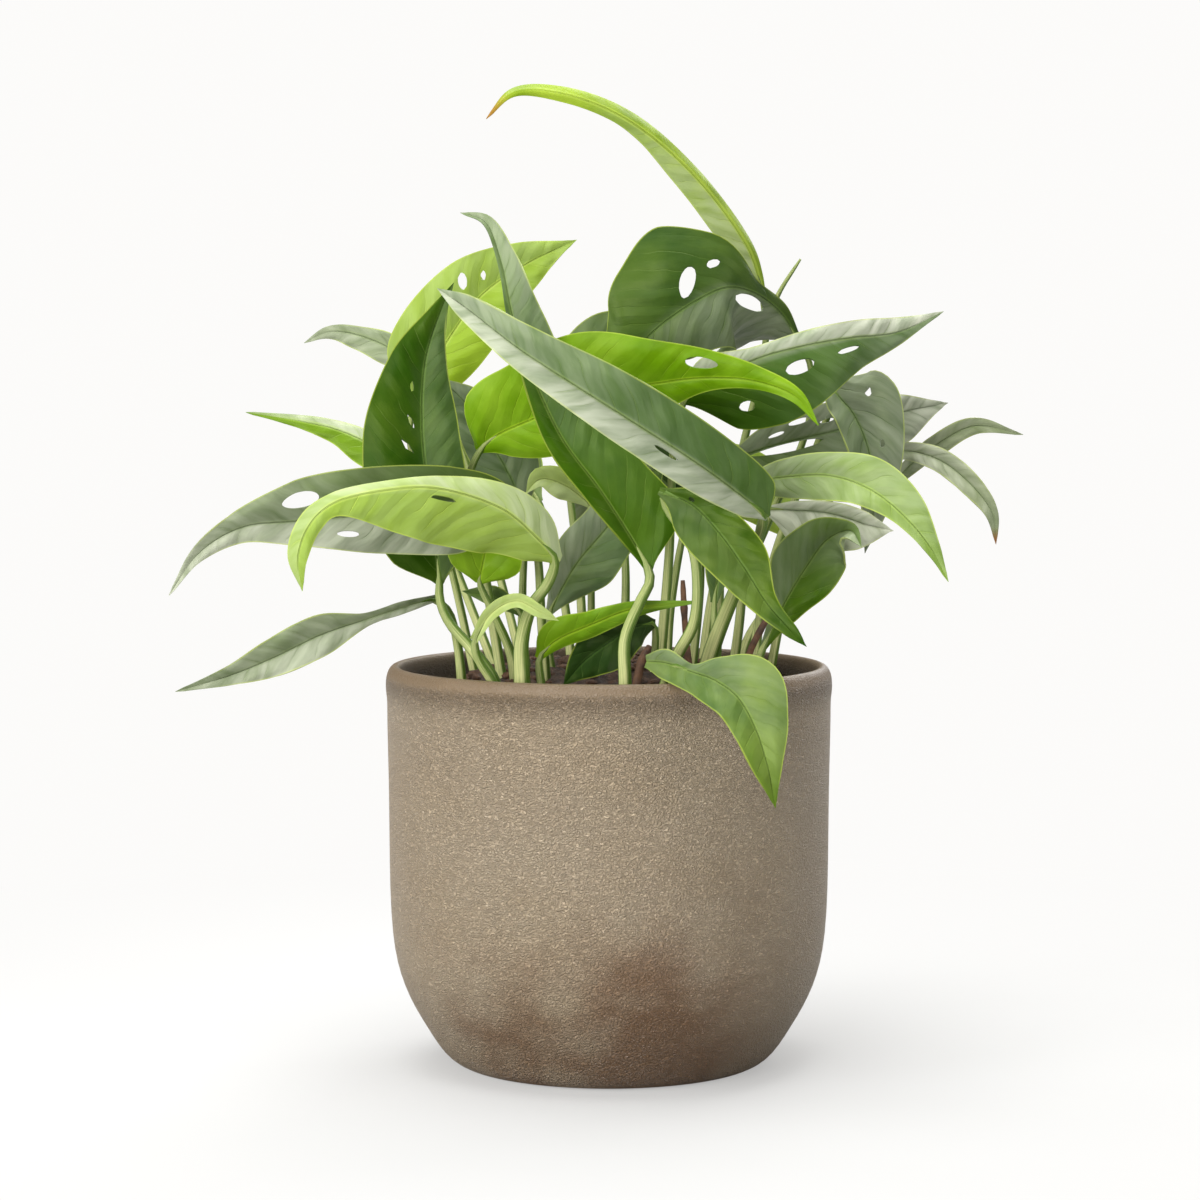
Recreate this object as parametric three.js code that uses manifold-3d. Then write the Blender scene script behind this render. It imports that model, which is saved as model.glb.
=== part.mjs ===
// Potted trailing plant: a round stoneware pot, a soil mound and the leaves with their stalks.
// Millimetres, +Z up, front of the plant towards -Y, origin at the middle of the pot's flat base.
import * as THREE from 'three';
import Module from 'manifold-3d';

const wasm = await Module();
wasm.setup();

// Driving dimensions
const POT_HEIGHT = 134;
const POT_RADIUS = 75;
const POT_BASE_RADIUS = 49;
const POT_FLOOR = 8;
const POT_INNER_RADIUS = 68.3;
const POT_SEGMENTS = 40;
const FIT_GAP = 0.3;
const SOIL_TOP = 135;
const SOIL_EDGE = 117;
const SOIL_SEGMENTS = 36;
const BLADE_THICKNESS = 0.8;
const BLADE_CAMBER = 0.09;
const BLADE_STEP = 16;
const BLADE_COLUMNS = [-1, -0.5, 0, 0.5, 1];
const WAVE_ANGLE = 15;
const STALK_SIDES = 5;
const STALK_STEP = 24;
const STALK_END = 0.8;
const JOINT_PLACE = 0.02;
const JOINT_REACH = 7;
const BUD_RADII = [1.1, 0.5];
const HOLE_SIDES = 6;
const HOLE_HALF_DEPTH = 4;
const SOIL_WAVE_HEIGHT = 0.7;

// Closed turned profiles, [radius, height]
const POT_PROFILE = [
  [0, 0], [POT_BASE_RADIUS, 0], [53, 1.2], [58, 6.5], [62, 12.8], [66.1, 19.6], [69.2, 26.5], [71.4, 33.5],
  [73, 43], [73.8, 58], [74, 95], [74.5, 116], [POT_RADIUS, 127], [74.4, 131.2], [71.6, POT_HEIGHT],
  [69.8, 132], [69, 127], [POT_INNER_RADIUS, 116], [68, 44], [60, 14], [50, POT_FLOOR], [0, POT_FLOOR],
];
const SOIL_PROFILE = [
  [0, POT_FLOOR + FIT_GAP], [49.9, POT_FLOOR + FIT_GAP], [59.7, 14.3], [67.7, 44.2],
  [POT_INNER_RADIUS - FIT_GAP, SOIL_EDGE - 3], [66, SOIL_EDGE], [58, 124], [46, 130], [32, 133],
  [16, SOIL_TOP], [0, SOIL_TOP],
];

// Plain colours, one per slot
const COLOURS = {
  pot_stoneware: 0x96846e,
  soil: 0x3a2c22,
  leaf_lime: 0x9cc540,
  leaf_green: 0x4f8a3a,
  leaf_dark: 0x2f5f28,
  leaf_grey: 0x8d9c86,
  stem_brown: 0x6b4a2c,
  sheath_cream: 0xc9c88a,
};

// A blade row is [x, y, z, half width to the left, half width to the right], from base to tip.
// The widths lie across the front view, left and right as seen with the tip upwards.
// fold: degrees by which the left and the right half lean towards the front.
// A hole is [place along 0..1, place across -1..1, length, width, turn in degrees].
const LEAVES = {
  long_grey_leaf: {
    tone: 'leaf_grey',
    fold: [18, 18],
    wave: 0.6,
    rows: [[50, -62, 186, 1.2, 1.2], [44, -66, 191, 5, 10], [28, -76, 203, 8.5, 12],
      [0, -82, 221, 8, 12], [-28, -80, 239, 5.7, 8], [-45, -72, 252, 3.4, 4],
      [-54, -66, 258, 0.4, 0.4]],
    stalk: [[30, -22, 122], [33, -24, 138], [41, -34, 161], [47, -50, 177]],
    thick: [3.1, 1.7],
    holes: [[0.32, -0.3, 9, 1.4, 0]],
  },
  crown_arch_leaf: {
    tone: 'leaf_lime',
    fold: [6, -55],
    wave: 0.3,
    rows: [[54, 52, 257, 1.2, 1.2], [52, 49, 265, 5, 1.8], [48, 45, 275, 7.3, 2.2],
      [29, 33, 299, 6.8, 2.6], [6, 22, 317, 3, 3.3], [-16, 13, 325, 2.7, 2.5], [-32, 8, 325, 1.5, 1.5],
      [-41, 5, 316, 0.4, 0.4]],
    stalk: [[32, 48, 120], [36, 52, 150], [46, 56, 200], [55, 54, 242]],
    thick: [1.9, 1.3],
    bud: [[55, 54, 249], [60, 53, 260], [67, 52, 271]],
  },
  heart_dark_leaf: {
    tone: 'leaf_dark',
    fold: [-12, -10],
    wave: 0.8,
    rows: [[66, 40, 242, 1.2, 1.2], [59, 31, 252, 19, 3], [48, 16, 259, 24, 5], [39, 8, 260, 23, 19],
      [30, 5, 256, 18, 28], [18, 4, 248, 15, 23], [9, 5, 240, 10, 15], [-4, 8, 231, 0.4, 0.4]],
    stalk: [[34, 36, 120], [38, 38, 140], [56, 46, 180], [70, 48, 215], [70, 44, 234]],
    thick: [1.8, 1.2],
    holes: [[0.58, 0.25, 5, 11, -40], [0.49, 0.42, 2.2, 4.4, -45], [0.34, -0.15, 19, 4.6, 0]],
  },
  lime_back_left_leaf: {
    tone: 'leaf_lime',
    fold: [10, 8],
    wave: 0.6,
    rows: [[-67, 43, 222, 1.2, 1.2], [-63, 42, 230, 15, 10], [-56, 40, 242, 18, 14],
      [-44, 38, 258, 15, 14], [-28, 36, 269, 8, 8], [-11, 34, 277, 0.4, 0.4]],
    stalk: [[-36, 36, 120], [-52, 44, 160], [-68, 46, 200], [-69, 44, 214]],
    thick: [1.7, 1.2],
    holes: [[0.52, -0.52, 6, 2.6, -60], [0.59, -0.34, 4, 1.6, -60]],
  },
  dark_upright_leaf: {
    tone: 'leaf_dark',
    fold: [10, 8],
    wave: 0.5,
    rows: [[-55, -34, 163, 1.2, 1.2], [-56, -32, 171, 14, 8], [-58, -30, 187, 20, 12.5],
      [-61, -26, 213, 19, 12], [-60, -22, 236, 11.3, 7], [-55, -20, 252, 3.5, 2.2],
      [-51, -18, 261, 0.4, 0.4]],
    stalk: [[-36, -44, 122], [-37, -45, 132], [-44, -42, 142], [-52, -38, 151], [-55, -36, 158]],
    thick: [2.3, 1.5],
    holes: [[0.64, -0.23, 4, 1.2, -10], [0.53, -0.2, 5.5, 1.3, -25], [0.45, -0.26, 6.5, 1.6, -35]],
  },
  twisted_tall_leaf: {
    tone: 'leaf_green',
    fold: [30, 10],
    wave: 0.5,
    rows: [[13, -47, 168, 1.2, 1.2], [8, -44, 177, 3, 18], [-3, -44, 194, 5.5, 16.5],
      [-16, -44, 212, 5.5, 13], [-30, -45, 246, 2, 10], [-35, -42, 268, 1.2, 5.4],
      [-40, -39, 280, 1, 2.4], [-48, -36, 283, 0.4, 0.4]],
    stalk: [[5, -56, 122], [5, -58, 134], [5, -58, 147], [10, -54, 159], [13, -50, 165]],
    thick: [2.3, 1.8],
  },
  left_long_leaf: {
    tone: 'leaf_grey',
    fold: [12, 10],
    wave: 0.8,
    rows: [[-27, -40, 184, 1.2, 1.2], [-38, -48, 190, 10, 8], [-51, -54, 190, 16, 12],
      [-75, -60, 187, 12.5, 15], [-98, -64, 185, 8, 13], [-116, -67, 183, 5, 5.5],
      [-129, -70, 175, 2.5, 2.5], [-138, -74, 162, 0.4, 0.4]],
    stalk: [[-20, -30, 122], [-22, -32, 150], [-24, -36, 176]],
    thick: [1.8, 1.4],
    holes: [[0.6, 0.5, 12, 5, 0], [0.49, -0.5, 7, 2, 0]],
  },
  front_lime_leaf: {
    tone: 'leaf_lime',
    fold: [8, -45],
    wave: 0.4,
    rows: [[-16, -65, 172, 1.2, 2], [-22, -70, 179, 8, 7.5], [-33, -77, 189, 15, 7],
      [-53, -87, 196, 17, 3.6], [-66, -92, 196, 14, 2.7], [-84, -98, 192, 4.5, 3],
      [-91, -99, 186, 3.5, 4], [-95, -99, 176, 3, 3.5], [-94, -98, 165, 0.4, 0.4]],
    stalk: [[-28, -50, 122], [-28, -52, 134], [-28, -55, 146], [-25, -59, 157], [-19, -62, 166]],
    thick: [3, 1.7],
    holes: [[0.42, -0.16, 10, 1.4, 0]],
  },
  lime_centre_leaf: {
    tone: 'leaf_lime',
    fold: [10, -12],
    wave: 0.5,
    rows: [[-43, -24, 206, 1.2, 1.2], [-37, -27, 211, 16, 8], [-24, -34, 217, 19, 14],
      [-6, -42, 225, 20, 16], [13, -48, 228, 15, 10], [30, -52, 230, 9.5, 4.5], [46, -56, 229, 5, 2.5],
      [59, -60, 224, 2.5, 2], [66, -62, 215, 0.4, 0.4]],
    stalk: [[-34, -20, 122], [-40, -20, 160], [-46, -22, 196]],
    thick: [1.9, 1.4],
    holes: [[0.66, -0.5, 10, 3.6, 0]],
  },
  right_upper_leaf: {
    tone: 'leaf_green',
    fold: [-8, 6],
    wave: 0.5,
    rows: [[24, -12, 222, 1.2, 1.2], [34, -16, 229, 8, 18], [48, -20, 236, 4, 23],
      [62, -20, 240, 4.5, 21], [79, -14, 243, 5.5, 12], [96, -4, 245, 5, 4], [112, 4, 252, 0.4, 0.4]],
    stalk: [[16, -6, 122], [20, -6, 170], [22, -10, 212]],
    thick: [1.9, 1.4],
    holes: [[0.42, 0.3, 10, 4.4, 0], [0.6, 0.3, 9, 1.6, 0], [0.2, 0.6, 6, 3.6, 0]],
  },
  right_folded_leaf: {
    tone: 'leaf_grey',
    fold: [10, 30],
    wave: 0.3,
    rows: [[74, 16, 229, 1.2, 1.2], [78, 12, 223, 12, 5], [82, 8, 218, 17, 6.5], [87, 4, 206, 12.5, 7],
      [89, 2, 189, 6, 5], [86, 2, 171, 0.4, 0.4]],
    stalk: [[46, 16, 120], [58, 36, 170], [72, 43, 205], [79, 37, 228], [77, 25, 234]],
    thick: [1.7, 1.3],
    holes: [[0.22, -0.5, 3.6, 1.6, 70], [0.45, -0.4, 2.6, 1.8, 0]],
  },
  right_front_leaf: {
    tone: 'leaf_lime',
    fold: [8, 8],
    wave: 0.5,
    rows: [[42, -32, 195, 1.2, 1.2], [55, -44, 198, 5.5, 6.5], [70, -56, 199, 7.5, 8],
      [82, -66, 195, 10, 6], [92, -74, 187, 8, 3.5], [100, -80, 177, 3, 2], [105, -84, 167, 0.4, 0.4]],
    stalk: [[40, -8, 122], [44, -14, 160], [41, -26, 188]],
    thick: [1.8, 1.4],
  },
  right_droop_leaf: {
    tone: 'leaf_grey',
    fold: [15, 20],
    wave: 0.3,
    rows: [[89, 20, 204, 1.2, 1.2], [101, 18, 205, 3, 3], [112, 14, 202, 4, 4], [123, 8, 193, 3.5, 4],
      [129, 4, 184, 2, 2.5], [130, 2, 174, 0.4, 0.4]],
    stalk: [[54, 28, 120], [64, 26, 165], [82, 22, 197]],
    thick: [1.7, 1.2],
  },
  right_far_leaf: {
    tone: 'leaf_lime',
    fold: [15, 15],
    wave: 0.3,
    rows: [[95, 50, 187, 1.2, 1.2], [104, 48, 198, 2.5, 3], [115, 46, 207, 3.5, 4],
      [127, 44, 213, 3, 3], [144, 42, 210, 0.4, 0.4]],
    stalk: [[46, 38, 120], [48, 40, 138], [66, 50, 160], [88, 53, 180]],
    thick: [1.7, 1.2],
  },
  slotted_leaf: {
    tone: 'leaf_dark',
    fold: [8, 8],
    wave: 0.3,
    rows: [[38, 20, 201, 1.2, 1.2], [57, 22, 207, 8, 16], [79, 30, 212, 10, 16], [102, 40, 218, 6, 10],
      [118, 44, 221, 0.4, 0.4]],
    stalk: [[36, 18, 120], [38, 18, 160], [37, 19, 192]],
    thick: [1.7, 1.2],
    holes: [[0.34, -0.62, 8, 1.8, 0], [0.27, 0.12, 28, 3, 0], [0.24, -0.4, 6, 1.3, 0],
      [0.46, -0.4, 6, 1.3, 0]],
  },
  grey_under_leaf: {
    tone: 'leaf_grey',
    fold: [10, 10],
    wave: 0.2,
    rows: [[52, -4, 186, 1.2, 1.2], [62, -8, 186, 3, 11], [74, -16, 185, 4, 12.5], [84, -22, 182, 4, 9],
      [93, -27, 180, 0.4, 0.4]],
    stalk: [[48, 2, 122], [51, 2, 155], [50, 0, 178]],
    thick: [1.6, 1.2],
  },
  low_folded_leaf: {
    tone: 'leaf_green',
    fold: [20, 20],
    wave: 0.4,
    rows: [[51, -18, 141, 1.2, 1.2], [57, -18, 154, 4, 6.5], [64, -18, 166, 12, 11],
      [72, -20, 177, 9, 10], [79, -27, 180, 3, 6], [82, -34, 175, 0.4, 0.4]],
    stalk: [[46, -20, 122], [48, -19, 133]],
    thick: [1.8, 1.4],
  },
  rim_leaf: {
    tone: 'leaf_green',
    fold: [10, 24],
    wave: 0.3,
    joint: 0.16,
    rows: [[12, -58, 140, 2, 2], [18, -64, 140, 4.5, 5], [26, -73, 138, 2.5, 6], [33, -81, 136, 8, 7.5],
      [40, -88, 131, 15, 8], [45, -93, 122, 11, 7], [48.5, -96, 111, 4.8, 5], [51, -96, 98, 0.4, 0.4]],
    stalk: [[15, -48, 122], [17, -53, 131]],
    thick: [1.7, 1.3],
  },
  low_dark_leaf: {
    tone: 'leaf_dark',
    fold: [10, 10],
    wave: 0.2,
    rows: [[15, -30, 150, 1.2, 1.2], [8, -36, 149, 6, 6], [-1, -41, 144, 9, 8], [-9, -45, 138, 6, 5],
      [-15, -48, 131, 0.4, 0.4]],
    stalk: [[14, -26, 124], [15, -27, 139]],
    thick: [1.6, 1.2],
  },
  low_lime_leaf: {
    tone: 'leaf_lime',
    fold: [10, -20],
    wave: 0.2,
    rows: [[-23, -48, 140, 1.2, 1.2], [-17, -50, 146, 6.5, 3], [-6, -50, 151, 4.6, 4],
      [7, -50, 156, 2.6, 3], [18, -46, 157, 1.5, 1.2], [30, -44, 158, 0.4, 0.4]],
    stalk: [[-20, -44, 122], [-22, -46, 132]],
    thick: [1.7, 1.2],
  },
  centre_dark_leaf: {
    tone: 'leaf_dark',
    fold: [10, 10],
    wave: 0.4,
    rows: [[-20, -14, 152, 1.2, 1.2], [-11, -13, 168, 9, 12], [-1, -13, 180, 9, 11],
      [10, -14, 194, 8, 8], [19, -16, 204, 0.4, 0.4]],
    stalk: [[-17, -12, 122], [-20, -13, 140]],
    thick: [1.7, 1.2],
  },
  blue_behind_leaf: {
    tone: 'leaf_dark',
    fold: [10, 10],
    wave: 0.3,
    rows: [[30, 2, 185, 1.2, 1.2], [15, 0, 199, 8, 8], [-3, -2, 214, 8, 8], [-16, -4, 225, 0.4, 0.4]],
    stalk: [[27, 4, 122], [31, 4, 165]],
    thick: [1.7, 1.2],
  },
  glossy_front_leaf: {
    tone: 'leaf_dark',
    fold: [14, 12],
    wave: 0.5,
    rows: [[16, -52, 194, 1.2, 1.2], [26, -58, 190, 5, 9], [34, -64, 182, 8, 11], [42, -71, 171, 9, 9],
      [49, -78, 160, 3.7, 5], [57, -84, 151, 2, 2], [61, -86, 147, 0.4, 0.4]],
    stalk: [[22, -42, 122], [21, -46, 138], [27, -54, 152], [28, -56, 165], [26, -55, 177],
      [18, -52, 189]],
    thick: [2.2, 1.6],
    holes: [[0.16, -0.3, 2.2, 1.4, 0]],
  },
  dull_behind_leaf: {
    tone: 'leaf_green',
    fold: [10, 10],
    wave: 0.2,
    rows: [[35, -8, 155, 1.2, 1.2], [37, -4, 166, 5, 4], [40, 0, 178, 4, 4], [43, 4, 187, 0.4, 0.4]],
    stalk: [[34, -10, 122], [35, -10, 142]],
    thick: [1.6, 1.2],
  },
  low_grey_leaf: {
    tone: 'leaf_grey',
    fold: [20, 20],
    wave: 0.4,
    rows: [[-57, -29, 158, 1.2, 1.2], [-67, -44, 156, 2, 2], [-78, -56, 153, 2.2, 2.2],
      [-91, -63, 149, 6.4, 6.4], [-106, -68, 142, 6, 6], [-120, -72, 136.5, 3, 3],
      [-136, -76, 132, 0.4, 0.4]],
    stalk: [[-48, -20, 122], [-50, -22, 143], [-53, -25, 154]],
    thick: [1.8, 1.3],
  },
  left_upper_leaf: {
    tone: 'leaf_lime',
    fold: [15, -20],
    wave: 0.3,
    rows: [[-62, 10, 199, 1.2, 1.2], [-78, 16, 206, 8, 4], [-92, 20, 212, 5, 3],
      [-105, 22, 215, 2.5, 2], [-124, 24, 218, 0.4, 0.4]],
    stalk: [[-44, 8, 122], [-52, 9, 160], [-60, 9, 190]],
    thick: [1.6, 1.2],
  },
  left_back_leaf: {
    tone: 'leaf_grey',
    fold: [10, -10],
    wave: 0.3,
    rows: [[-60, 66, 224, 1.2, 1.2], [-76, 72, 239, 6, 5], [-90, 76, 245, 5, 3],
      [-100, 78, 246, 2.5, 2], [-109, 80, 242, 0.4, 0.4]],
    stalk: [[-28, 46, 120], [-40, 62, 165], [-54, 66, 210]],
    thick: [1.7, 1.2],
  },
  dark_back_leaf: {
    tone: 'leaf_dark',
    fold: [10, 10],
    wave: 0.3,
    rows: [[-28, 4, 184, 1.2, 1.2], [-33, 7, 196, 9, 11], [-41, 10, 210, 9, 12], [-49, 13, 222, 5, 6],
      [-58, 15, 230, 0.4, 0.4]],
    stalk: [[-30, 4, 122], [-29, 4, 160]],
    thick: [1.7, 1.2],
  },
  small_pale_leaf: {
    tone: 'leaf_grey',
    fold: [20, 20],
    wave: 0.2,
    rows: [[-6, 6, 187, 1.2, 1.2], [-15, 2, 194, 5, 5], [-23, 0, 196, 3, 4], [-28, -2, 191, 0.4, 0.4]],
    stalk: [[-6, 8, 122], [-6, 8, 165]],
    thick: [1.5, 1.2],
  },
  lime_under_leaf: {
    tone: 'leaf_lime',
    fold: [8, 8],
    wave: 0.2,
    rows: [[-42, -42, 164, 1.2, 1.2], [-41, -44, 169, 10, 11], [-40, -44, 174, 12, 12],
      [-39, -42, 180, 8, 8], [-38, -40, 186, 0.4, 0.4]],
    stalk: [[-30, -34, 122], [-32, -35, 140], [-38, -39, 155]],
    thick: [1.9, 1.3],
  },
  sprout: {
    tone: 'sheath_cream',
    fold: [25, 25],
    wave: 0,
    rows: [[-43, -60, 147, 1.4, 1.4], [-37, -64, 156, 2.5, 2], [-29, -69, 160, 2.5, 2],
      [-22, -72, 157, 2, 2], [-16, -72, 154, 0.5, 0.5]],
    stalk: [[-35, -52, 122], [-37, -54, 132], [-42, -57, 141]],
    thick: [1.7, 1.5],
  },
  low_left_dark_leaf: {
    tone: 'leaf_dark',
    fold: [15, 15],
    wave: 0.2,
    rows: [[-29, -14, 152, 1.2, 1.2], [-38, -12, 157, 3, 4], [-49, -8, 159, 0.4, 0.4]],
    stalk: [[-26, -8, 122], [-28, -12, 140]],
    thick: [1.5, 1.2],
  },
  back_low_left_leaf: {
    tone: 'leaf_green',
    fold: [-12, -12],
    wave: 0.5,
    rows: [[-24, 56, 186, 1.2, 1.2], [-34, 70, 196, 12, 12], [-49, 84, 193, 14, 14],
      [-60, 94, 182, 8, 8], [-67, 99, 170, 0.4, 0.4]],
    stalk: [[-12, 40, 120], [-16, 46, 155]],
    thick: [1.8, 1.3],
  },
  back_middle_leaf: {
    tone: 'leaf_grey',
    fold: [-12, -12],
    wave: 0.5,
    rows: [[4, 52, 190, 1.2, 1.2], [2, 66, 200, 13, 13], [-2, 84, 198, 15, 15], [-6, 98, 184, 9, 9],
      [-8, 104, 166, 0.4, 0.4]],
    stalk: [[4, 36, 120], [6, 42, 160]],
    thick: [1.8, 1.3],
  },
  back_low_right_leaf: {
    tone: 'leaf_lime',
    fold: [-12, -12],
    wave: 0.5,
    rows: [[28, 60, 182, 1.2, 1.2], [37, 76, 192, 12, 12], [51, 90, 190, 13, 13], [62, 98, 180, 8, 8],
      [70, 102, 168, 0.4, 0.4]],
    stalk: [[20, 46, 120], [22, 52, 150]],
    thick: [1.8, 1.3],
  },
  back_upper_leaf: {
    tone: 'leaf_dark',
    fold: [-12, -12],
    wave: 0.5,
    rows: [[-12, 48, 214, 1.2, 1.2], [-8, 58, 228, 12, 12], [2, 70, 240, 14, 14], [14, 82, 242, 8, 8],
      [26, 92, 236, 0.4, 0.4]],
    stalk: [[-8, 24, 120], [-10, 32, 160], [-14, 42, 200]],
    thick: [1.8, 1.3],
  },
};

// Bare stems and dry stubs that stand in the soil: path and the radii at both ends.
const STEMS = {
  thin_vine: {
    tone: 'stem_brown',
    path: [[44, -30, 122], [45, -32, 138], [53, -34, 155]],
    thick: [1.3, 1],
  },
  brown_stub: {
    tone: 'stem_brown',
    path: [[8, -44, 122], [10, -42, 137], [13, -38, 143]],
    thick: [1.6, 1.3],
  },
  dark_stem: {
    tone: 'stem_brown',
    path: [[28, -30, 122], [25, -32, 146], [24, -30, 164]],
    thick: [1.2, 0.9],
  },
};

const FRONT = new THREE.Vector3(0, -1, 0);

const vector = (p) => new THREE.Vector3(p[0], p[1], p[2]);

function solidFrom(points, triangles) {
  const mesh = new wasm.Mesh({
    numProp: 3,
    vertProperties: new Float32Array(points.flatMap((p) => [p.x, p.y, p.z])),
    triVerts: new Uint32Array(triangles.flat()),
  });
  mesh.merge();
  return new wasm.Manifold(mesh);
}

// Same solid with its faces turned outward, whichever way round the triangles were given.
function outward(points, triangles) {
  const solid = solidFrom(points, triangles);
  return solid.volume() < 0 ? solidFrom(points, triangles.map(([a, b, c]) => [a, c, b])) : solid;
}

function geometryFrom(solid) {
  const mesh = solid.getMesh();
  const geometry = new THREE.BufferGeometry();
  const places = [];
  for (let i = 0; i < mesh.numVert; i += 1) {
    for (let k = 0; k < 3; k += 1) places.push(mesh.vertProperties[i * mesh.numProp + k]);
  }
  geometry.setAttribute('position', new THREE.Float32BufferAttribute(places, 3));
  geometry.setIndex(Array.from(mesh.triVerts));
  geometry.computeVertexNormals();
  return geometry;
}

// Smooth value through the given values, with the same parameter as the curve through the points.
function through(values, t) {
  const last = values.length - 1;
  const i = Math.min(Math.floor(t * last), last - 1);
  const f = t * last - i;
  const a = values[Math.max(i - 1, 0)];
  const b = values[i];
  const c = values[i + 1];
  const d = values[Math.min(i + 2, last)];
  const smooth = b + 0.5 * f * (c - a + f * (2 * a - 5 * b + 4 * c - d + f * (3 * (b - c) + d - a)));
  return Math.max(smooth, 0.8 * Math.min(b, c));
}

// Round tube along a smooth path, closed at both ends; room widens it and lowers its foot.
function tube(path, radii, room) {
  const sides = STALK_SIDES;
  const curve = new THREE.CatmullRomCurve3(path.map(vector), false, 'centripetal');
  const steps = Math.max(2, Math.round(curve.getLength() / STALK_STEP) + 1);
  const points = [];
  const triangles = [];
  let across = new THREE.Vector3(1, 0, 0);
  for (let i = 0; i <= steps; i += 1) {
    const u = i / steps;
    const centre = curve.getPointAt(u);
    const along = curve.getTangentAt(u);
    if (i === 0) centre.addScaledVector(along, -room);
    across = across.clone().addScaledVector(along, -across.dot(along)).normalize();
    const other = new THREE.Vector3().crossVectors(along, across);
    const radius = radii[0] + (radii[1] - radii[0]) * u + room;
    for (let k = 0; k < sides; k += 1) {
      const angle = (2 * Math.PI * k) / sides;
      const point = centre.clone().addScaledVector(across, radius * Math.cos(angle));
      points.push(point.addScaledVector(other, radius * Math.sin(angle)));
    }
  }
  for (let i = 0; i < steps; i += 1) {
    for (let k = 0; k < sides; k += 1) {
      const a = i * sides + k;
      const b = i * sides + ((k + 1) % sides);
      triangles.push([a, b, b + sides], [a, b + sides, a + sides]);
    }
  }
  for (let k = 1; k < sides - 1; k += 1) {
    triangles.push([0, k + 1, k]);
    const top = steps * sides;
    triangles.push([top, top + k, top + k + 1]);
  }
  return solidFrom(points, triangles);
}

// Point of the blade's middle surface: across runs from -1 at the left edge to 1 at the right one.
function bladePoint(leaf, curve, t, across, u) {
  const along = curve.getTangent(t);
  const side = new THREE.Vector3().crossVectors(FRONT, along).normalize();
  const face = new THREE.Vector3().crossVectors(along, side).normalize();
  const left = through(leaf.rows.map((row) => row[3]), t);
  const right = through(leaf.rows.map((row) => row[4]), t);
  const reach = across < 0 ? left : right;
  const fold = THREE.MathUtils.degToRad(leaf.fold[across < 0 ? 0 : 1]);
  const amount = Math.abs(across);
  const camber = BLADE_CAMBER * reach * Math.sin(Math.PI * amount);
  const wave = leaf.wave * amount * amount * Math.sin(u * WAVE_ANGLE + across);
  const lift = reach * amount * Math.tan(fold) + camber + wave;
  return curve.getPoint(t).addScaledVector(side, -across * reach).addScaledVector(face, lift);
}

function blade(leaf) {
  const curve = new THREE.CatmullRomCurve3(leaf.rows.map(vector), false, 'centripetal');
  const steps = Math.max(5, Math.round(curve.getLength() / BLADE_STEP) + 2);
  const grid = [];
  for (let i = 0; i <= steps; i += 1) {
    const u = i / steps;
    const t = curve.getUtoTmapping(u);
    grid.push(BLADE_COLUMNS.map((across) => bladePoint(leaf, curve, t, across, u)));
  }
  const count = BLADE_COLUMNS.length;
  const upper = [];
  const lower = [];
  for (let i = 0; i <= steps; i += 1) {
    for (let k = 0; k < count; k += 1) {
      const along = grid[Math.min(i + 1, steps)][k].clone().sub(grid[Math.max(i - 1, 0)][k]);
      const over = grid[i][Math.max(k - 1, 0)].clone().sub(grid[i][Math.min(k + 1, count - 1)]);
      const normal = new THREE.Vector3().crossVectors(along, over).normalize();
      upper.push(grid[i][k].clone().addScaledVector(normal, BLADE_THICKNESS / 2));
      lower.push(grid[i][k].clone().addScaledVector(normal, -BLADE_THICKNESS / 2));
    }
  }
  const points = upper.concat(lower);
  const shift = upper.length;
  const triangles = [];
  for (let i = 0; i < steps; i += 1) {
    for (let k = 0; k < count - 1; k += 1) {
      const a = i * count + k;
      const b = a + 1;
      const c = a + count;
      const d = c + 1;
      triangles.push([a, c, d], [a, d, b]);
      triangles.push([a + shift, d + shift, c + shift], [a + shift, b + shift, d + shift]);
    }
  }
  const border = [];
  for (let k = 0; k < count; k += 1) border.push(k);
  for (let i = 1; i <= steps; i += 1) border.push(i * count + count - 1);
  for (let k = count - 2; k >= 0; k -= 1) border.push(steps * count + k);
  for (let i = steps - 1; i > 0; i -= 1) border.push(i * count);
  border.forEach((a, n) => {
    const b = border[(n + 1) % border.length];
    triangles.push([a, b, b + shift], [a, b + shift, a + shift]);
  });
  return { solid: outward(points, triangles), curve };
}

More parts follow.
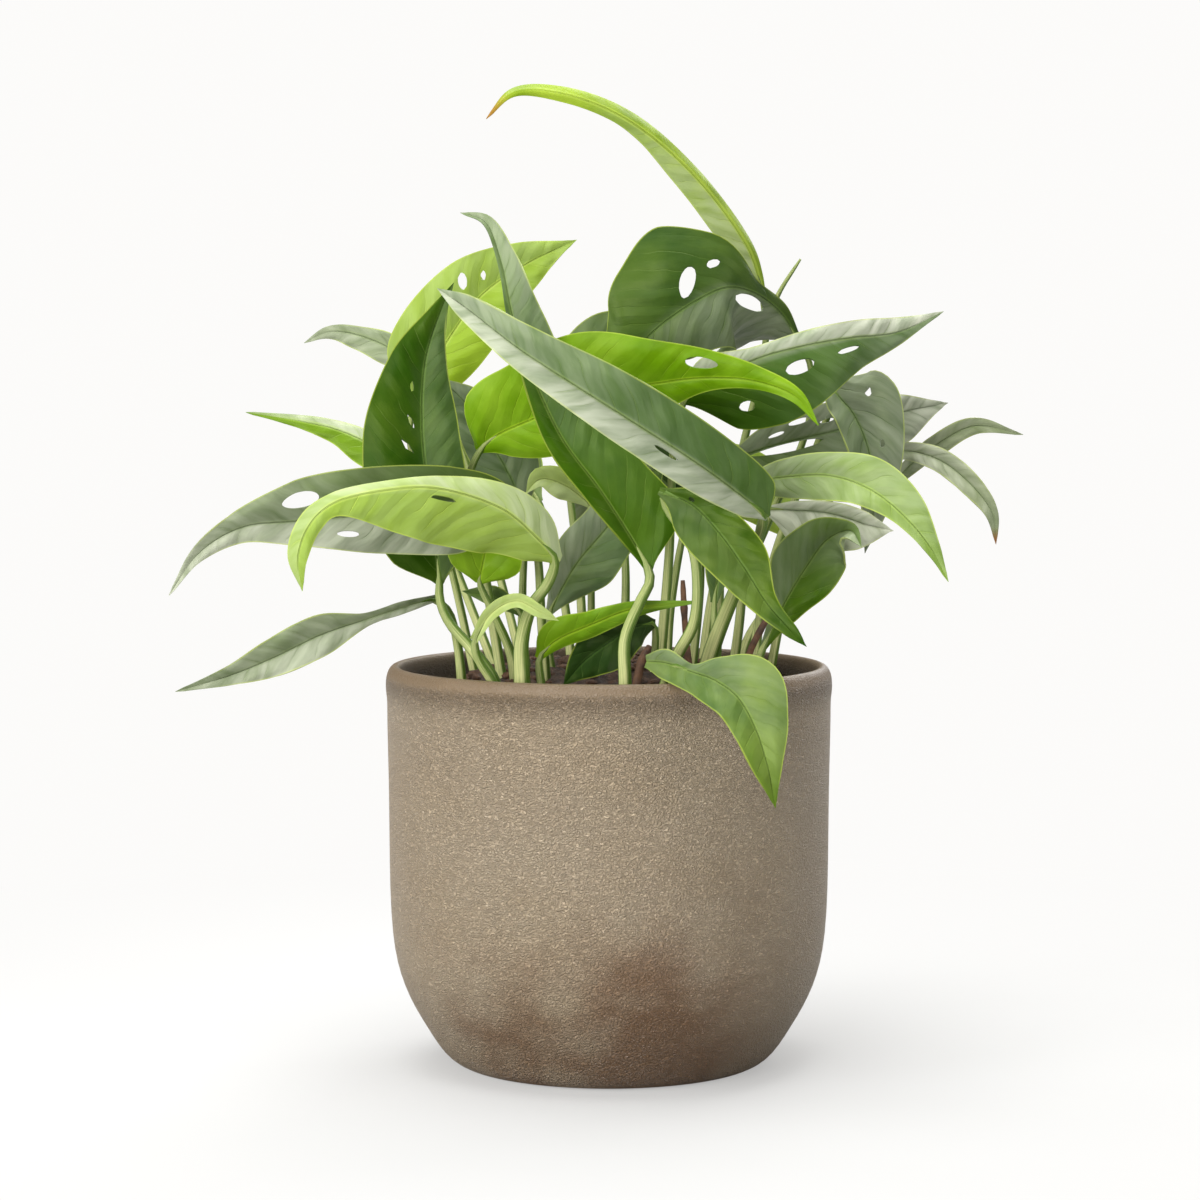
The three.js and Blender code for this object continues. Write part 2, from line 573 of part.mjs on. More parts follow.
// Elliptical cutter standing through the blade.
function cutter(leaf, curve, hole) {
  const [u, across, length, width, turn] = hole;
  const t = curve.getUtoTmapping(u);
  const centre = bladePoint(leaf, curve, t, across, u);
  const further = u + 0.02;
  const inner = across + (across < 0 ? 0.1 : -0.1);
  const ahead = bladePoint(leaf, curve, curve.getUtoTmapping(further), across, further);
  const along = ahead.sub(centre).normalize();
  const over = bladePoint(leaf, curve, t, inner, u).sub(centre).normalize();
  const normal = new THREE.Vector3().crossVectors(along, over).normalize();
  const side = new THREE.Vector3().crossVectors(normal, along);
  const angle = THREE.MathUtils.degToRad(turn);
  const long = along.clone().multiplyScalar(Math.cos(angle)).addScaledVector(side, Math.sin(angle));
  const short = new THREE.Vector3().crossVectors(normal, long);
  const points = [];
  for (const level of [-HOLE_HALF_DEPTH, HOLE_HALF_DEPTH]) {
    for (let k = 0; k < HOLE_SIDES; k += 1) {
      const a = (2 * Math.PI * k) / HOLE_SIDES;
      const point = centre.clone().addScaledVector(normal, level);
      point.addScaledVector(long, (length / 2) * Math.cos(a));
      points.push(point.addScaledVector(short, (width / 2) * Math.sin(a)));
    }
  }
  const triangles = [];
  for (let k = 0; k < HOLE_SIDES; k += 1) {
    const b = (k + 1) % HOLE_SIDES;
    triangles.push([k, b, b + HOLE_SIDES], [k, b + HOLE_SIDES, k + HOLE_SIDES]);
  }
  for (let k = 1; k < HOLE_SIDES - 1; k += 1) {
    triangles.push([0, k + 1, k], [HOLE_SIDES, HOLE_SIDES + k, HOLE_SIDES + k + 1]);
  }
  return outward(points, triangles);
}

// Stalk path, carried on under the first part of the rib.
function stalkPath(leaf) {
  const curve = new THREE.CatmullRomCurve3(leaf.rows.map(vector), false, 'centripetal');
  const joint = leaf.joint ?? JOINT_PLACE;
  const end = curve.getPointAt(joint);
  const beyond = curve.getPointAt(joint + JOINT_REACH / curve.getLength());
  return leaf.stalk.concat([end.toArray(), beyond.toArray()]);
}

const stalkRadii = (leaf) => [leaf.thick[0], STALK_END * leaf.thick[1]];

// One leaf: the blade with its holes, its stalk and, where it has one, its bud, grown as one solid.
function buildLeaf(leaf) {
  const { solid, curve } = blade(leaf);
  let whole = solid;
  for (const hole of leaf.holes ?? []) whole = whole.subtract(cutter(leaf, curve, hole));
  whole = whole.add(tube(stalkPath(leaf), stalkRadii(leaf), 0));
  if (leaf.bud) whole = whole.add(tube(leaf.bud, BUD_RADII, 0));
  return whole;
}

// Closed solid turned from a profile, with the seam and the poles welded; shape moves its points.
function turnedSolid(profile, segments, shape = (p) => p) {
  const geometry = new THREE.LatheGeometry(profile.map(([r, z]) => new THREE.Vector2(r, z)), segments);
  geometry.rotateX(Math.PI / 2);
  const place = geometry.getAttribute('position');
  const points = [];
  for (let i = 0; i < place.count; i += 1) {
    points.push(shape(new THREE.Vector3(place.getX(i), place.getY(i), place.getZ(i))));
  }
  const welded = new Map();
  const ids = points.map((p) => {
    const key = `${p.x.toFixed(4)} ${p.y.toFixed(4)} ${p.z.toFixed(4)}`.replace(/-0\.0000/g, '0.0000');
    if (!welded.has(key)) welded.set(key, welded.size);
    return welded.get(key);
  });
  const kept = [];
  ids.forEach((id, i) => {
    kept[id] = points[i];
  });
  const index = geometry.getIndex().array;
  const triangles = [];
  for (let i = 0; i < index.length; i += 3) {
    const [a, b, c] = [ids[index[i]], ids[index[i + 1]], ids[index[i + 2]]];
    if (a !== b && b !== c && c !== a) triangles.push([a, b, c]);
  }
  return outward(kept, triangles);
}

// Slow waves over the top of the soil.
function soilWave(p) {
  if (p.z > SOIL_EDGE - 1) p.z += SOIL_WAVE_HEIGHT * Math.sin(0.31 * p.x + 1) * Math.cos(0.27 * p.y);
  return p;
}

const group = new THREE.Group();
group.name = 'potted_plant';

function addMesh(name, solid, slot) {
  const material = new THREE.MeshStandardMaterial({ color: COLOURS[slot], roughness: 0.7 });
  material.name = slot;
  const mesh = new THREE.Mesh(geometryFrom(solid), material);
  mesh.name = name;
  group.add(mesh);
}

const roots = [];
for (const [name, leaf] of Object.entries(LEAVES)) {
  addMesh(name, buildLeaf(leaf), leaf.tone);
  roots.push(tube(stalkPath(leaf), stalkRadii(leaf), FIT_GAP));
}
for (const [name, stem] of Object.entries(STEMS)) {
  addMesh(name, tube(stem.path, stem.thick, 0), stem.tone);
  roots.push(tube(stem.path, stem.thick, FIT_GAP));
}

// The soil fills the pot and rises in an uneven mound, with a plain hole for every stalk.
let soil = turnedSolid(SOIL_PROFILE, SOIL_SEGMENTS, soilWave);
for (const root of roots) soil = soil.subtract(root);
addMesh('soil', soil, 'soil');
addMesh('pot', turnedSolid(POT_PROFILE, POT_SEGMENTS), 'pot_stoneware');

export default group;
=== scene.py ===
import math
import random
import bpy
import numpy as np
from mathutils import Matrix, Vector


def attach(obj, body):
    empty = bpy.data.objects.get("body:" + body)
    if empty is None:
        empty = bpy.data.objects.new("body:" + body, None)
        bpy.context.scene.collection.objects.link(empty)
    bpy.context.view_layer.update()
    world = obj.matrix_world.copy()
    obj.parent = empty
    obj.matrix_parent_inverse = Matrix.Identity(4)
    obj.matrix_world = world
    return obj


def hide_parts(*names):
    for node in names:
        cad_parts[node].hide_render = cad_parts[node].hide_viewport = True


# Potted climbing house plant: stoneware pot, soil mound and leaves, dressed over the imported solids.
# Leaves, stems and the mound are given in millimetres, as in the part's source, the rest in metres.

MM = 0.001
MERGE_DISTANCE = 1e-6
SMOOTH_ANGLE = math.radians(50)

# Blades and stalks. Lengths are in millimetres, and a reach is the half width from which an effect is
# full: the blade's thickness, its wave and the soft quilting between its side veins.
BLADE_THICKNESS = 0.6
THINNEST = 0.2
FULL_REACH = 2.5
BLADE_CAMBER = 0.09
FOLD_ROUNDING = 0.004
FOLD_DROP = 0.063
TIP_LENGTH = 2.5
TIP_WIDTH = 0.15
RIPPLE = 0.35
WAVE_TURNS = 15
RIPPLE_TURNS = 31
WAVE_REACH = 6.0
BLADE_CELLS_ACROSS = 34
BLADE_CELL_LENGTH = 1.4
VEIN_SPACING = 9.0
VEIN_SLANT = 1.25
VEIN_WOBBLE = 9.0
QUILT_HEIGHT = 0.12
QUILT_MIDRIB = 3.0
QUILT_MARGIN = 0.25
QUILT_REACH = 8.0
STALK_SIDES = 14
STALK_STEP = 3.0
STALK_TIP = 10.0
STALK_JOINT = 0.02
STALK_OVERLAP = 7.0
GROOVE_TURN = 2.4
GROOVE_WIDTH = 0.35
END_ROUNDING = 0.75
BUD_RADII = (1.1, 0.5)
# What one unit of the blade's Size map stands for.
MAP_UNIT = 100.0
# How sharply the left half's tint gives way to the right half's at the midrib.
TINT_BLEND = 4
# A half width stays above this share of the narrower row beside it.
LEAST_WIDTH = 0.8
# Shares of a radius: how thick a stalk is at the blade, how much its tip narrows, how deep its groove
# is, and how far the knobs of a bud and of a stem stand out.
STALK_END = 0.8
STALK_TAPER = 0.75
STALK_GROOVE = 0.2
BUD_KNOB = 0.2
STEM_KNOB = 0.35
# Knobs on a bud or stem: place along it and how long the knob is, as parts of its length.
KNOBS = ((0.78, 0.03), (0.4, 0.02))

# Pot and soil, in metres.
POT_HEIGHT = 0.134
POT_RADIUS = 0.075
POT_FLOOR = 0.008
POT_INNER_RADIUS = 0.0683
POT_SIDES = 144
SOIL_RADIUS = 0.068
SOIL_SIDES = 120
SOIL_RINGS = 44
SOIL_DEPTH = 0.004
SOIL_CRUMB = (-0.0006, 0.0007)
# The innermost ring of the soil, as a share of the one before it.
SOIL_LAST_RING = 0.02
CHIP_COUNT = 230
CHIP_SPREAD = 0.0635
CHIP_LENGTH = (0.0012, 0.0042)
CHIP_RISE = 0.0002
# Width and depth of a chip as shares of its length, its turn and tilt in radians, and its lumps.
CHIP_WIDTH = (0.4, 0.8)
CHIP_DEPTH = (0.25, 0.5)
CHIP_TURN = 6.28
CHIP_TILT = 0.6
CHIP_LUMPS = (0.82, 1.14)

# Camera in metres, degrees and millimetres of lens. The strengths of light are the floor's glow that
# the camera sees near the pot, its glow on the plant further out, the surround's light on the plant
# and the background that the camera sees.
CAMERA_PLACE = (-0.003, -1.1, 0.2333)
CAMERA_PITCH = 4.05
CAMERA_LENS = 98.55
SENSOR_WIDTH = 36.0
FLOOR_SIZE = 14.0
FLOOR_GLOW = 0.4
FLOOR_BOUNCE = 0.6
SURROUND = 0.25
BACKGROUND = 0.975
BACKGROUND_COLOUR = (1.0, 0.992, 0.978, 1.0)
FLOOR_COLOUR = (0.33, 0.33, 0.325, 1.0)
FLOOR_PATCHES = (0.31, 0.31, 0.305, 1.0)
BLACK = (0.0, 0.0, 0.0, 1.0)

# Softboxes: place, what each one faces, its two sizes in metres and its power in watts.
LIGHTS = {
    "top_softbox": ((-0.1, 0.05, 1.1), (0, 0, 0.15), (0.9, 0.9), 16.0),
    "left_softbox": ((-0.6, -1.2, 0.45), (0, 0, 0.13), (0.8, 0.9), 15.5),
    "left_side": ((-0.95, -0.6, 0.35), (0, 0, 0.08), (0.45, 0.8), 9.0),
    "right_fill": ((1.0, -0.7, 0.4), (0, 0, 0.1), (0.6, 0.8), 5.0),
    "back_glow": ((0.5, 0.9, 0.8), (0, 0, 0.2), (0.8, 0.8), 8.0),
}

# Shapes as in the part's source. rows run from the base of the blade to its tip: x, y, z, half width
# to the left, half width to the right. fold is how far each half leans to the front, in degrees, and
# wave is the height of its wavy edge. stalk and bud are paths, thick is the stalk's radius at its foot
# and at the blade, and joint is where the stalk ends on the blade. A hole is place along, place
# across, length, width and turn.
# look is the tone, then how much silvery cast and painted sheen the left half has at its base and tip
# and the right half at its base and tip, below 0 how much painted shade instead, and last how
# strongly the painted glow of light shows in patches.
LEAVES = {
  "long_grey_leaf": {
    "fold": [18, 18], "wave": 0.6, "thick": [3.1, 1.7],
    "look": ["green", 0.6, 0.65, 0.06, 0.45, 0.1],
    "rows": [[50, -62, 186, 1.2, 1.2], [44, -66, 191, 5, 10], [28, -76, 203, 8.5, 12],
      [0, -82, 221, 8, 12], [-28, -80, 239, 5.7, 8], [-45, -72, 252, 3.4, 4], [-54, -66, 258, 0.4, 0.4]],
    "stalk": [[30, -22, 122], [33, -24, 138], [41, -34, 161], [47, -50, 177]],
    "holes": [[0.32, -0.3, 9, 1.4, 0]],
  },
  "crown_arch_leaf": {
    "fold": [6, -55], "wave": 0.3, "thick": [1.9, 1.3],
    "look": ["lime", 0.45, -0.4, -0.5, -0.5, 1.0], "red_tip": True,
    "rows": [[54, 52, 257, 1.2, 1.2], [52, 49, 265, 5, 1.8], [48, 45, 275, 7.3, 2.2],
      [29, 33, 299, 6.8, 2.6], [6, 22, 317, 3, 3.3], [-16, 13, 325, 2.7, 2.5], [-32, 8, 325, 1.5, 1.5],
      [-41, 5, 316, 0.4, 0.4]],
    "stalk": [[32, 48, 120], [36, 52, 150], [46, 56, 200], [55, 54, 242]],
    "bud": [[55, 54, 249], [60, 53, 260], [67, 52, 271]],
  },
  "heart_dark_leaf": {
    "fold": [-12, -10], "wave": 0.8, "thick": [1.8, 1.2],
    "look": ["dark", 0.3, 0.0, 0.03, 0.02, 0.25],
    "rows": [[66, 40, 242, 1.2, 1.2], [59, 31, 252, 19, 3], [48, 16, 259, 24, 5], [39, 8, 260, 23, 19],
      [30, 5, 256, 18, 28], [18, 4, 248, 15, 23], [9, 5, 240, 10, 15], [-4, 8, 231, 0.4, 0.4]],
    "stalk": [[34, 36, 120], [38, 38, 140], [56, 46, 180], [70, 48, 215], [70, 44, 234]],
    "holes": [[0.58, 0.25, 5, 11, -40], [0.49, 0.42, 2.2, 4.4, -45], [0.34, -0.15, 19, 4.6, 0]],
  },
  "lime_back_left_leaf": {
    "fold": [10, 8], "wave": 0.6, "thick": [1.7, 1.2],
    "look": ["lime", 0.15, 0.15, 0.0, 0.15, 0.3],
    "rows": [[-67, 43, 222, 1.2, 1.2], [-63, 42, 230, 15, 10], [-56, 40, 242, 18, 14],
      [-44, 38, 258, 15, 14], [-28, 36, 269, 8, 8], [-11, 34, 277, 0.4, 0.4]],
    "stalk": [[-36, 36, 120], [-52, 44, 160], [-68, 46, 200], [-69, 44, 214]],
    "holes": [[0.52, -0.52, 6, 2.6, -60], [0.59, -0.34, 4, 1.6, -60]],
  },
  "dark_upright_leaf": {
    "fold": [10, 8], "wave": 0.5, "thick": [2.3, 1.5],
    "look": ["dark", 0.0, 0.0, 0.04, 0.06, 0.2],
    "rows": [[-55, -34, 163, 1.2, 1.2], [-56, -32, 171, 14, 8], [-58, -30, 187, 20, 12.5],
      [-61, -26, 213, 19, 12], [-60, -22, 236, 11.3, 7], [-55, -20, 252, 3.5, 2.2],
      [-51, -18, 261, 0.4, 0.4]],
    "stalk": [[-36, -44, 122], [-37, -45, 132], [-44, -42, 142], [-52, -38, 151], [-55, -36, 158]],
    "holes": [[0.64, -0.23, 4, 1.2, -10], [0.53, -0.2, 5.5, 1.3, -25], [0.45, -0.26, 6.5, 1.6, -35]],
  },
  "twisted_tall_leaf": {
    "fold": [30, 10], "wave": 0.5, "thick": [2.3, 1.8],
    "look": ["green", -0.1, 0.3, 0.0, 0.45, 0.2],
    "rows": [[13, -47, 168, 1.2, 1.2], [8, -44, 177, 3, 18], [-3, -44, 194, 5.5, 16.5],
      [-16, -44, 212, 5.5, 13], [-30, -45, 246, 2, 10], [-35, -42, 268, 1.2, 5.4],
      [-40, -39, 280, 1, 2.4], [-48, -36, 283, 0.4, 0.4]],
    "stalk": [[5, -56, 122], [5, -58, 134], [5, -58, 147], [10, -54, 159], [13, -50, 165]],
  },
  "left_long_leaf": {
    "fold": [12, 10], "wave": 0.8, "thick": [1.8, 1.4],
    "look": ["grey", 0.5, 0.65, 0.0, 0.6, 0.1],
    "rows": [[-27, -40, 184, 1.2, 1.2], [-38, -48, 190, 10, 8], [-51, -54, 190, 16, 12],
      [-75, -60, 187, 12.5, 15], [-98, -64, 185, 8, 13], [-116, -67, 183, 5, 5.5],
      [-129, -70, 175, 2.5, 2.5], [-138, -74, 162, 0.4, 0.4]],
    "stalk": [[-20, -30, 122], [-22, -32, 150], [-24, -36, 176]],
    "holes": [[0.6, 0.5, 12, 5, 0], [0.49, -0.5, 7, 2, 0]],
  },
  "front_lime_leaf": {
    "fold": [8, -45], "wave": 0.4, "thick": [3, 1.7],
    "look": ["lime", 0.12, 0.1, 0.5, 0.2, 0.4],
    "rows": [[-16, -65, 172, 1.2, 2], [-22, -70, 179, 8, 7.5], [-33, -77, 189, 15, 7],
      [-53, -87, 196, 17, 3.6], [-66, -92, 196, 14, 2.7], [-84, -98, 192, 4.5, 3],
      [-91, -99, 186, 3.5, 4], [-95, -99, 176, 3, 3.5], [-94, -98, 165, 0.4, 0.4]],
    "stalk": [[-28, -50, 122], [-28, -52, 134], [-28, -55, 146], [-25, -59, 157], [-19, -62, 166]],
    "holes": [[0.42, -0.16, 10, 1.4, 0]],
  },
  "lime_centre_leaf": {
    "fold": [10, -12], "wave": 0.5, "thick": [1.9, 1.4],
    "look": ["bright", 0.0, 0.0, 0.0, 0.0, 0.7],
    "rows": [[-43, -24, 206, 1.2, 1.2], [-37, -27, 211, 16, 8], [-24, -34, 217, 19, 14],
      [-6, -42, 225, 20, 16], [13, -48, 228, 15, 10], [30, -52, 230, 9.5, 4.5], [46, -56, 229, 5, 2.5],
      [59, -60, 224, 2.5, 2], [66, -62, 215, 0.4, 0.4]],
    "stalk": [[-34, -20, 122], [-40, -20, 160], [-46, -22, 196]],
    "holes": [[0.66, -0.5, 10, 3.6, 0]],
  },
  "right_upper_leaf": {
    "fold": [-8, 6], "wave": 0.5, "thick": [1.9, 1.4],
    "look": ["green", 0.7, 0.85, 0.0, 0.3, 0.1],
    "rows": [[24, -12, 222, 1.2, 1.2], [34, -16, 229, 8, 18], [48, -20, 236, 4, 23],
      [62, -20, 240, 4.5, 21], [79, -14, 243, 5.5, 12], [96, -4, 245, 5, 4], [112, 4, 252, 0.4, 0.4]],
    "stalk": [[16, -6, 122], [20, -6, 170], [22, -10, 212]],
    "holes": [[0.42, 0.3, 10, 4.4, 0], [0.6, 0.3, 9, 1.6, 0], [0.2, 0.6, 6, 3.6, 0]],
  },
  "right_folded_leaf": {
    "fold": [10, 30], "wave": 0.3, "thick": [1.7, 1.3],
    "look": ["dark", 0.3, 0.4, 0.2, 0.25, 0.15],
    "rows": [[74, 16, 229, 1.2, 1.2], [78, 12, 223, 12, 5], [82, 8, 218, 17, 6.5], [87, 4, 206, 12.5, 7],
      [89, 2, 189, 6, 5], [86, 2, 171, 0.4, 0.4]],
    "stalk": [[46, 16, 120], [58, 36, 170], [72, 43, 205], [79, 37, 228], [77, 25, 234]],
    "holes": [[0.22, -0.5, 3.6, 1.6, 70], [0.45, -0.4, 2.6, 1.8, 0]],
  },
  "right_front_leaf": {
    "fold": [8, 8], "wave": 0.5, "thick": [1.8, 1.4],
    "look": ["mid", 0.35, 0.1, 0.3, 0.05, 0.35],
    "rows": [[42, -32, 195, 1.2, 1.2], [55, -44, 198, 5.5, 6.5], [70, -56, 199, 7.5, 8],
      [82, -66, 195, 10, 6], [92, -74, 187, 8, 3.5], [100, -80, 177, 3, 2], [105, -84, 167, 0.4, 0.4]],
    "stalk": [[40, -8, 122], [44, -14, 160], [41, -26, 188]],
  },
  "right_droop_leaf": {
    "fold": [15, 20], "wave": 0.3, "thick": [1.7, 1.2],
    "look": ["grey", 0.7, 0.2, 0.7, 0.2, 0.4], "red_tip": True,
    "rows": [[89, 20, 204, 1.2, 1.2], [101, 18, 205, 3, 3], [112, 14, 202, 4, 4], [123, 8, 193, 3.5, 4],
      [129, 4, 184, 2, 2.5], [130, 2, 174, 0.4, 0.4]],
    "stalk": [[54, 28, 120], [64, 26, 165], [82, 22, 197]],
  },
  "right_far_leaf": {
    "fold": [15, 15], "wave": 0.3, "thick": [1.7, 1.2],
    "look": ["grey", 0.45, 0.4, 0.4, 0.3, 0.4],
    "rows": [[95, 50, 187, 1.2, 1.2], [104, 48, 198, 2.5, 3], [115, 46, 207, 3.5, 4],
      [127, 44, 213, 3, 3], [144, 42, 210, 0.4, 0.4]],
    "stalk": [[46, 38, 120], [48, 40, 138], [66, 50, 160], [88, 53, 180]],
  },
  "slotted_leaf": {
    "fold": [8, 8], "wave": 0.3, "thick": [1.7, 1.2],
    "look": ["dark", 0.3, 0.8, 0.1, 0.75, 0.25],
    "rows": [[38, 20, 201, 1.2, 1.2], [57, 22, 207, 8, 16], [79, 30, 212, 10, 16], [102, 40, 218, 6, 10],
      [118, 44, 221, 0.4, 0.4]],
    "stalk": [[36, 18, 120], [38, 18, 160], [37, 19, 192]],
    "holes": [[0.34, -0.62, 8, 1.8, 0], [0.27, 0.12, 28, 3, 0], [0.24, -0.4, 6, 1.3, 0],
      [0.46, -0.4, 6, 1.3, 0]],
  },
  "grey_under_leaf": {
    "fold": [10, 10], "wave": 0.2, "thick": [1.6, 1.2],
    "look": ["grey", 1.0, 0.9, 1.0, 0.9, 0.5],
    "rows": [[52, -4, 186, 1.2, 1.2], [62, -8, 186, 3, 11], [74, -16, 185, 4, 12.5], [84, -22, 182, 4, 9],
      [93, -27, 180, 0.4, 0.4]],
    "stalk": [[48, 2, 122], [51, 2, 155], [50, 0, 178]],
  },
  "low_folded_leaf": {
    "fold": [20, 20], "wave": 0.4, "thick": [1.8, 1.4],
    "look": ["green", 0.2, 0.1, -0.1, 0.5, 0.3],
    "rows": [[51, -18, 141, 1.2, 1.2], [57, -18, 154, 4, 6.5], [64, -18, 166, 12, 11],
      [72, -20, 177, 9, 10], [79, -27, 180, 3, 6], [82, -34, 175, 0.4, 0.4]],
    "stalk": [[46, -20, 122], [48, -19, 133]],
  },
  "rim_leaf": {
    "fold": [10, 24], "wave": 0.3, "joint": 0.16, "thick": [1.7, 1.3],
    "look": ["green", 0.2, 0.0, 0.1, 0.0, 0.7],
    "rows": [[12, -58, 140, 2, 2], [18, -64, 140, 4.5, 5], [26, -73, 138, 2.5, 6], [33, -81, 136, 8, 7.5],
      [40, -88, 131, 15, 8], [45, -93, 122, 11, 7], [48.5, -96, 111, 4.8, 5], [51, -96, 98, 0.4, 0.4]],
    "stalk": [[15, -48, 122], [17, -53, 131]],
  },
  "low_dark_leaf": {
    "fold": [10, 10], "wave": 0.2, "thick": [1.6, 1.2],
    "look": ["deep", 0.02, 0.0, 0.02, 0.0, 0.1],
    "rows": [[15, -30, 150, 1.2, 1.2], [8, -36, 149, 6, 6], [-1, -41, 144, 9, 8], [-9, -45, 138, 6, 5],
      [-15, -48, 131, 0.4, 0.4]],
    "stalk": [[14, -26, 124], [15, -27, 139]],
  },
  "low_lime_leaf": {
    "fold": [10, -20], "wave": 0.2, "thick": [1.7, 1.2],
    "look": ["bright", 0.0, 0.1, 0.0, 0.1, 0.45],
    "rows": [[-23, -48, 140, 1.2, 1.2], [-17, -50, 146, 6.5, 3], [-6, -50, 151, 4.6, 4],
      [7, -50, 156, 2.6, 3], [18, -46, 157, 1.5, 1.2], [30, -44, 158, 0.4, 0.4]],
    "stalk": [[-20, -44, 122], [-22, -46, 132]],
  },
  "centre_dark_leaf": {
    "fold": [10, 10], "wave": 0.4, "thick": [1.7, 1.2],
    "look": ["green", 0.42, 0.25, 0.16, 0.1, 0.65],
    "rows": [[-20, -14, 152, 1.2, 1.2], [-11, -13, 168, 9, 12], [-1, -13, 180, 9, 11],
      [10, -14, 194, 8, 8], [19, -16, 204, 0.4, 0.4]],
    "stalk": [[-17, -12, 122], [-20, -13, 140]],
  },
  "blue_behind_leaf": {
    "fold": [10, 10], "wave": 0.3, "thick": [1.7, 1.2],
    "look": ["dark", 0.1, 0.1, 0.06, 0.1, 0.1],
    "rows": [[30, 2, 185, 1.2, 1.2], [15, 0, 199, 8, 8], [-3, -2, 214, 8, 8], [-16, -4, 225, 0.4, 0.4]],
    "stalk": [[27, 4, 122], [31, 4, 165]],
  },
  "glossy_front_leaf": {
    "fold": [14, 12], "wave": 0.5, "thick": [2.2, 1.6],
    "look": ["dark", 0.0, 0.0, 0.04, 0.0, 0.4],
    "rows": [[16, -52, 194, 1.2, 1.2], [26, -58, 190, 5, 9], [34, -64, 182, 8, 11], [42, -71, 171, 9, 9],
      [49, -78, 160, 3.7, 5], [57, -84, 151, 2, 2], [61, -86, 147, 0.4, 0.4]],
    "stalk": [[22, -42, 122], [21, -46, 138], [27, -54, 152], [28, -56, 165], [26, -55, 177],
      [18, -52, 189]],
    "holes": [[0.16, -0.3, 2.2, 1.4, 0]],
  },
  "dull_behind_leaf": {
    "fold": [10, 10], "wave": 0.2, "thick": [1.6, 1.2],
    "look": ["green", 0.1, 0.1, 0.1, 0.1, 0.2],
    "rows": [[35, -8, 155, 1.2, 1.2], [37, -4, 166, 5, 4], [40, 0, 178, 4, 4], [43, 4, 187, 0.4, 0.4]],
    "stalk": [[34, -10, 122], [35, -10, 142]],
  },
  "low_grey_leaf": {
    "fold": [20, 20], "wave": 0.4, "thick": [1.8, 1.3],
    "look": ["grey", 0.6, 0.4, 0.35, 0.3, 0.1],
    "rows": [[-57, -29, 158, 1.2, 1.2], [-67, -44, 156, 2, 2], [-78, -56, 153, 2.2, 2.2],
      [-91, -63, 149, 6.4, 6.4], [-106, -68, 142, 6, 6], [-120, -72, 136.5, 3, 3],
      [-136, -76, 132, 0.4, 0.4]],
    "stalk": [[-48, -20, 122], [-50, -22, 143], [-53, -25, 154]],
  },
  "left_upper_leaf": {
    "fold": [15, -20], "wave": 0.3, "thick": [1.6, 1.2],
    "look": ["mid", 0.0, 0.0, 0.8, 0.2, 0.1],
    "rows": [[-62, 10, 199, 1.2, 1.2], [-78, 16, 206, 8, 4], [-92, 20, 212, 5, 3],
      [-105, 22, 215, 2.5, 2], [-124, 24, 218, 0.4, 0.4]],
    "stalk": [[-44, 8, 122], [-52, 9, 160], [-60, 9, 190]],
  },
  "left_back_leaf": {
    "fold": [10, -10], "wave": 0.3, "thick": [1.7, 1.2],
    "look": ["grey", 0.4, 0.45, 0.3, 0.4, 0.1],
    "rows": [[-60, 66, 224, 1.2, 1.2], [-76, 72, 239, 6, 5], [-90, 76, 245, 5, 3],
      [-100, 78, 246, 2.5, 2], [-109, 80, 242, 0.4, 0.4]],
    "stalk": [[-28, 46, 120], [-40, 62, 165], [-54, 66, 210]],
  },
  "dark_back_leaf": {
    "fold": [10, 10], "wave": 0.3, "thick": [1.7, 1.2],
    "look": ["dark", 0.15, 0.15, 0.2, 0.2, 0.1],
    "rows": [[-28, 4, 184, 1.2, 1.2], [-33, 7, 196, 9, 11], [-41, 10, 210, 9, 12], [-49, 13, 222, 5, 6],
      [-58, 15, 230, 0.4, 0.4]],
    "stalk": [[-30, 4, 122], [-29, 4, 160]],
  },
  "small_pale_leaf": {
    "fold": [20, 20], "wave": 0.2, "thick": [1.5, 1.2],
    "look": ["pale", 0.4, 0.4, 0.2, 0.2, 0.4],
    "rows": [[-6, 6, 187, 1.2, 1.2], [-15, 2, 194, 5, 5], [-23, 0, 196, 3, 4], [-28, -2, 191, 0.4, 0.4]],
    "stalk": [[-6, 8, 122], [-6, 8, 165]],
  },
  "lime_under_leaf": {
    "fold": [8, 8], "wave": 0.2, "thick": [1.9, 1.3],
    "look": ["bright", 0.0, 0.0, 0.0, 0.0, 0.75],
    "rows": [[-42, -42, 164, 1.2, 1.2], [-41, -44, 169, 10, 11], [-40, -44, 174, 12, 12],
      [-39, -42, 180, 8, 8], [-38, -40, 186, 0.4, 0.4]],
    "stalk": [[-30, -34, 122], [-32, -35, 140], [-38, -39, 155]],
  },
  "sprout": {
    "fold": [25, 25], "wave": 0, "thick": [1.7, 1.5],
    "look": ["sheath", 0.2, 0.2, 0.2, 0.2, 0.4],
    "rows": [[-43, -60, 147, 1.4, 1.4], [-37, -64, 156, 2.5, 2], [-29, -69, 160, 2.5, 2],
      [-22, -72, 157, 2, 2], [-16, -72, 154, 0.5, 0.5]],
    "stalk": [[-35, -52, 122], [-37, -54, 132], [-42, -57, 141]],
  },
  "low_left_dark_leaf": {
    "fold": [15, 15], "wave": 0.2, "thick": [1.5, 1.2],
    "look": ["dark", 0.05, 0.05, 0.05, 0.05, 0.25],
    "rows": [[-29, -14, 152, 1.2, 1.2], [-38, -12, 157, 3, 4], [-49, -8, 159, 0.4, 0.4]],
    "stalk": [[-26, -8, 122], [-28, -12, 140]],
  },
  "back_low_left_leaf": {
    "fold": [-12, -12], "wave": 0.5, "thick": [1.8, 1.3],
    "look": ["green", 0.1, 0.1, 0.1, 0.1, 0.4],
    "rows": [[-24, 56, 186, 1.2, 1.2], [-34, 70, 196, 12, 12], [-49, 84, 193, 14, 14],
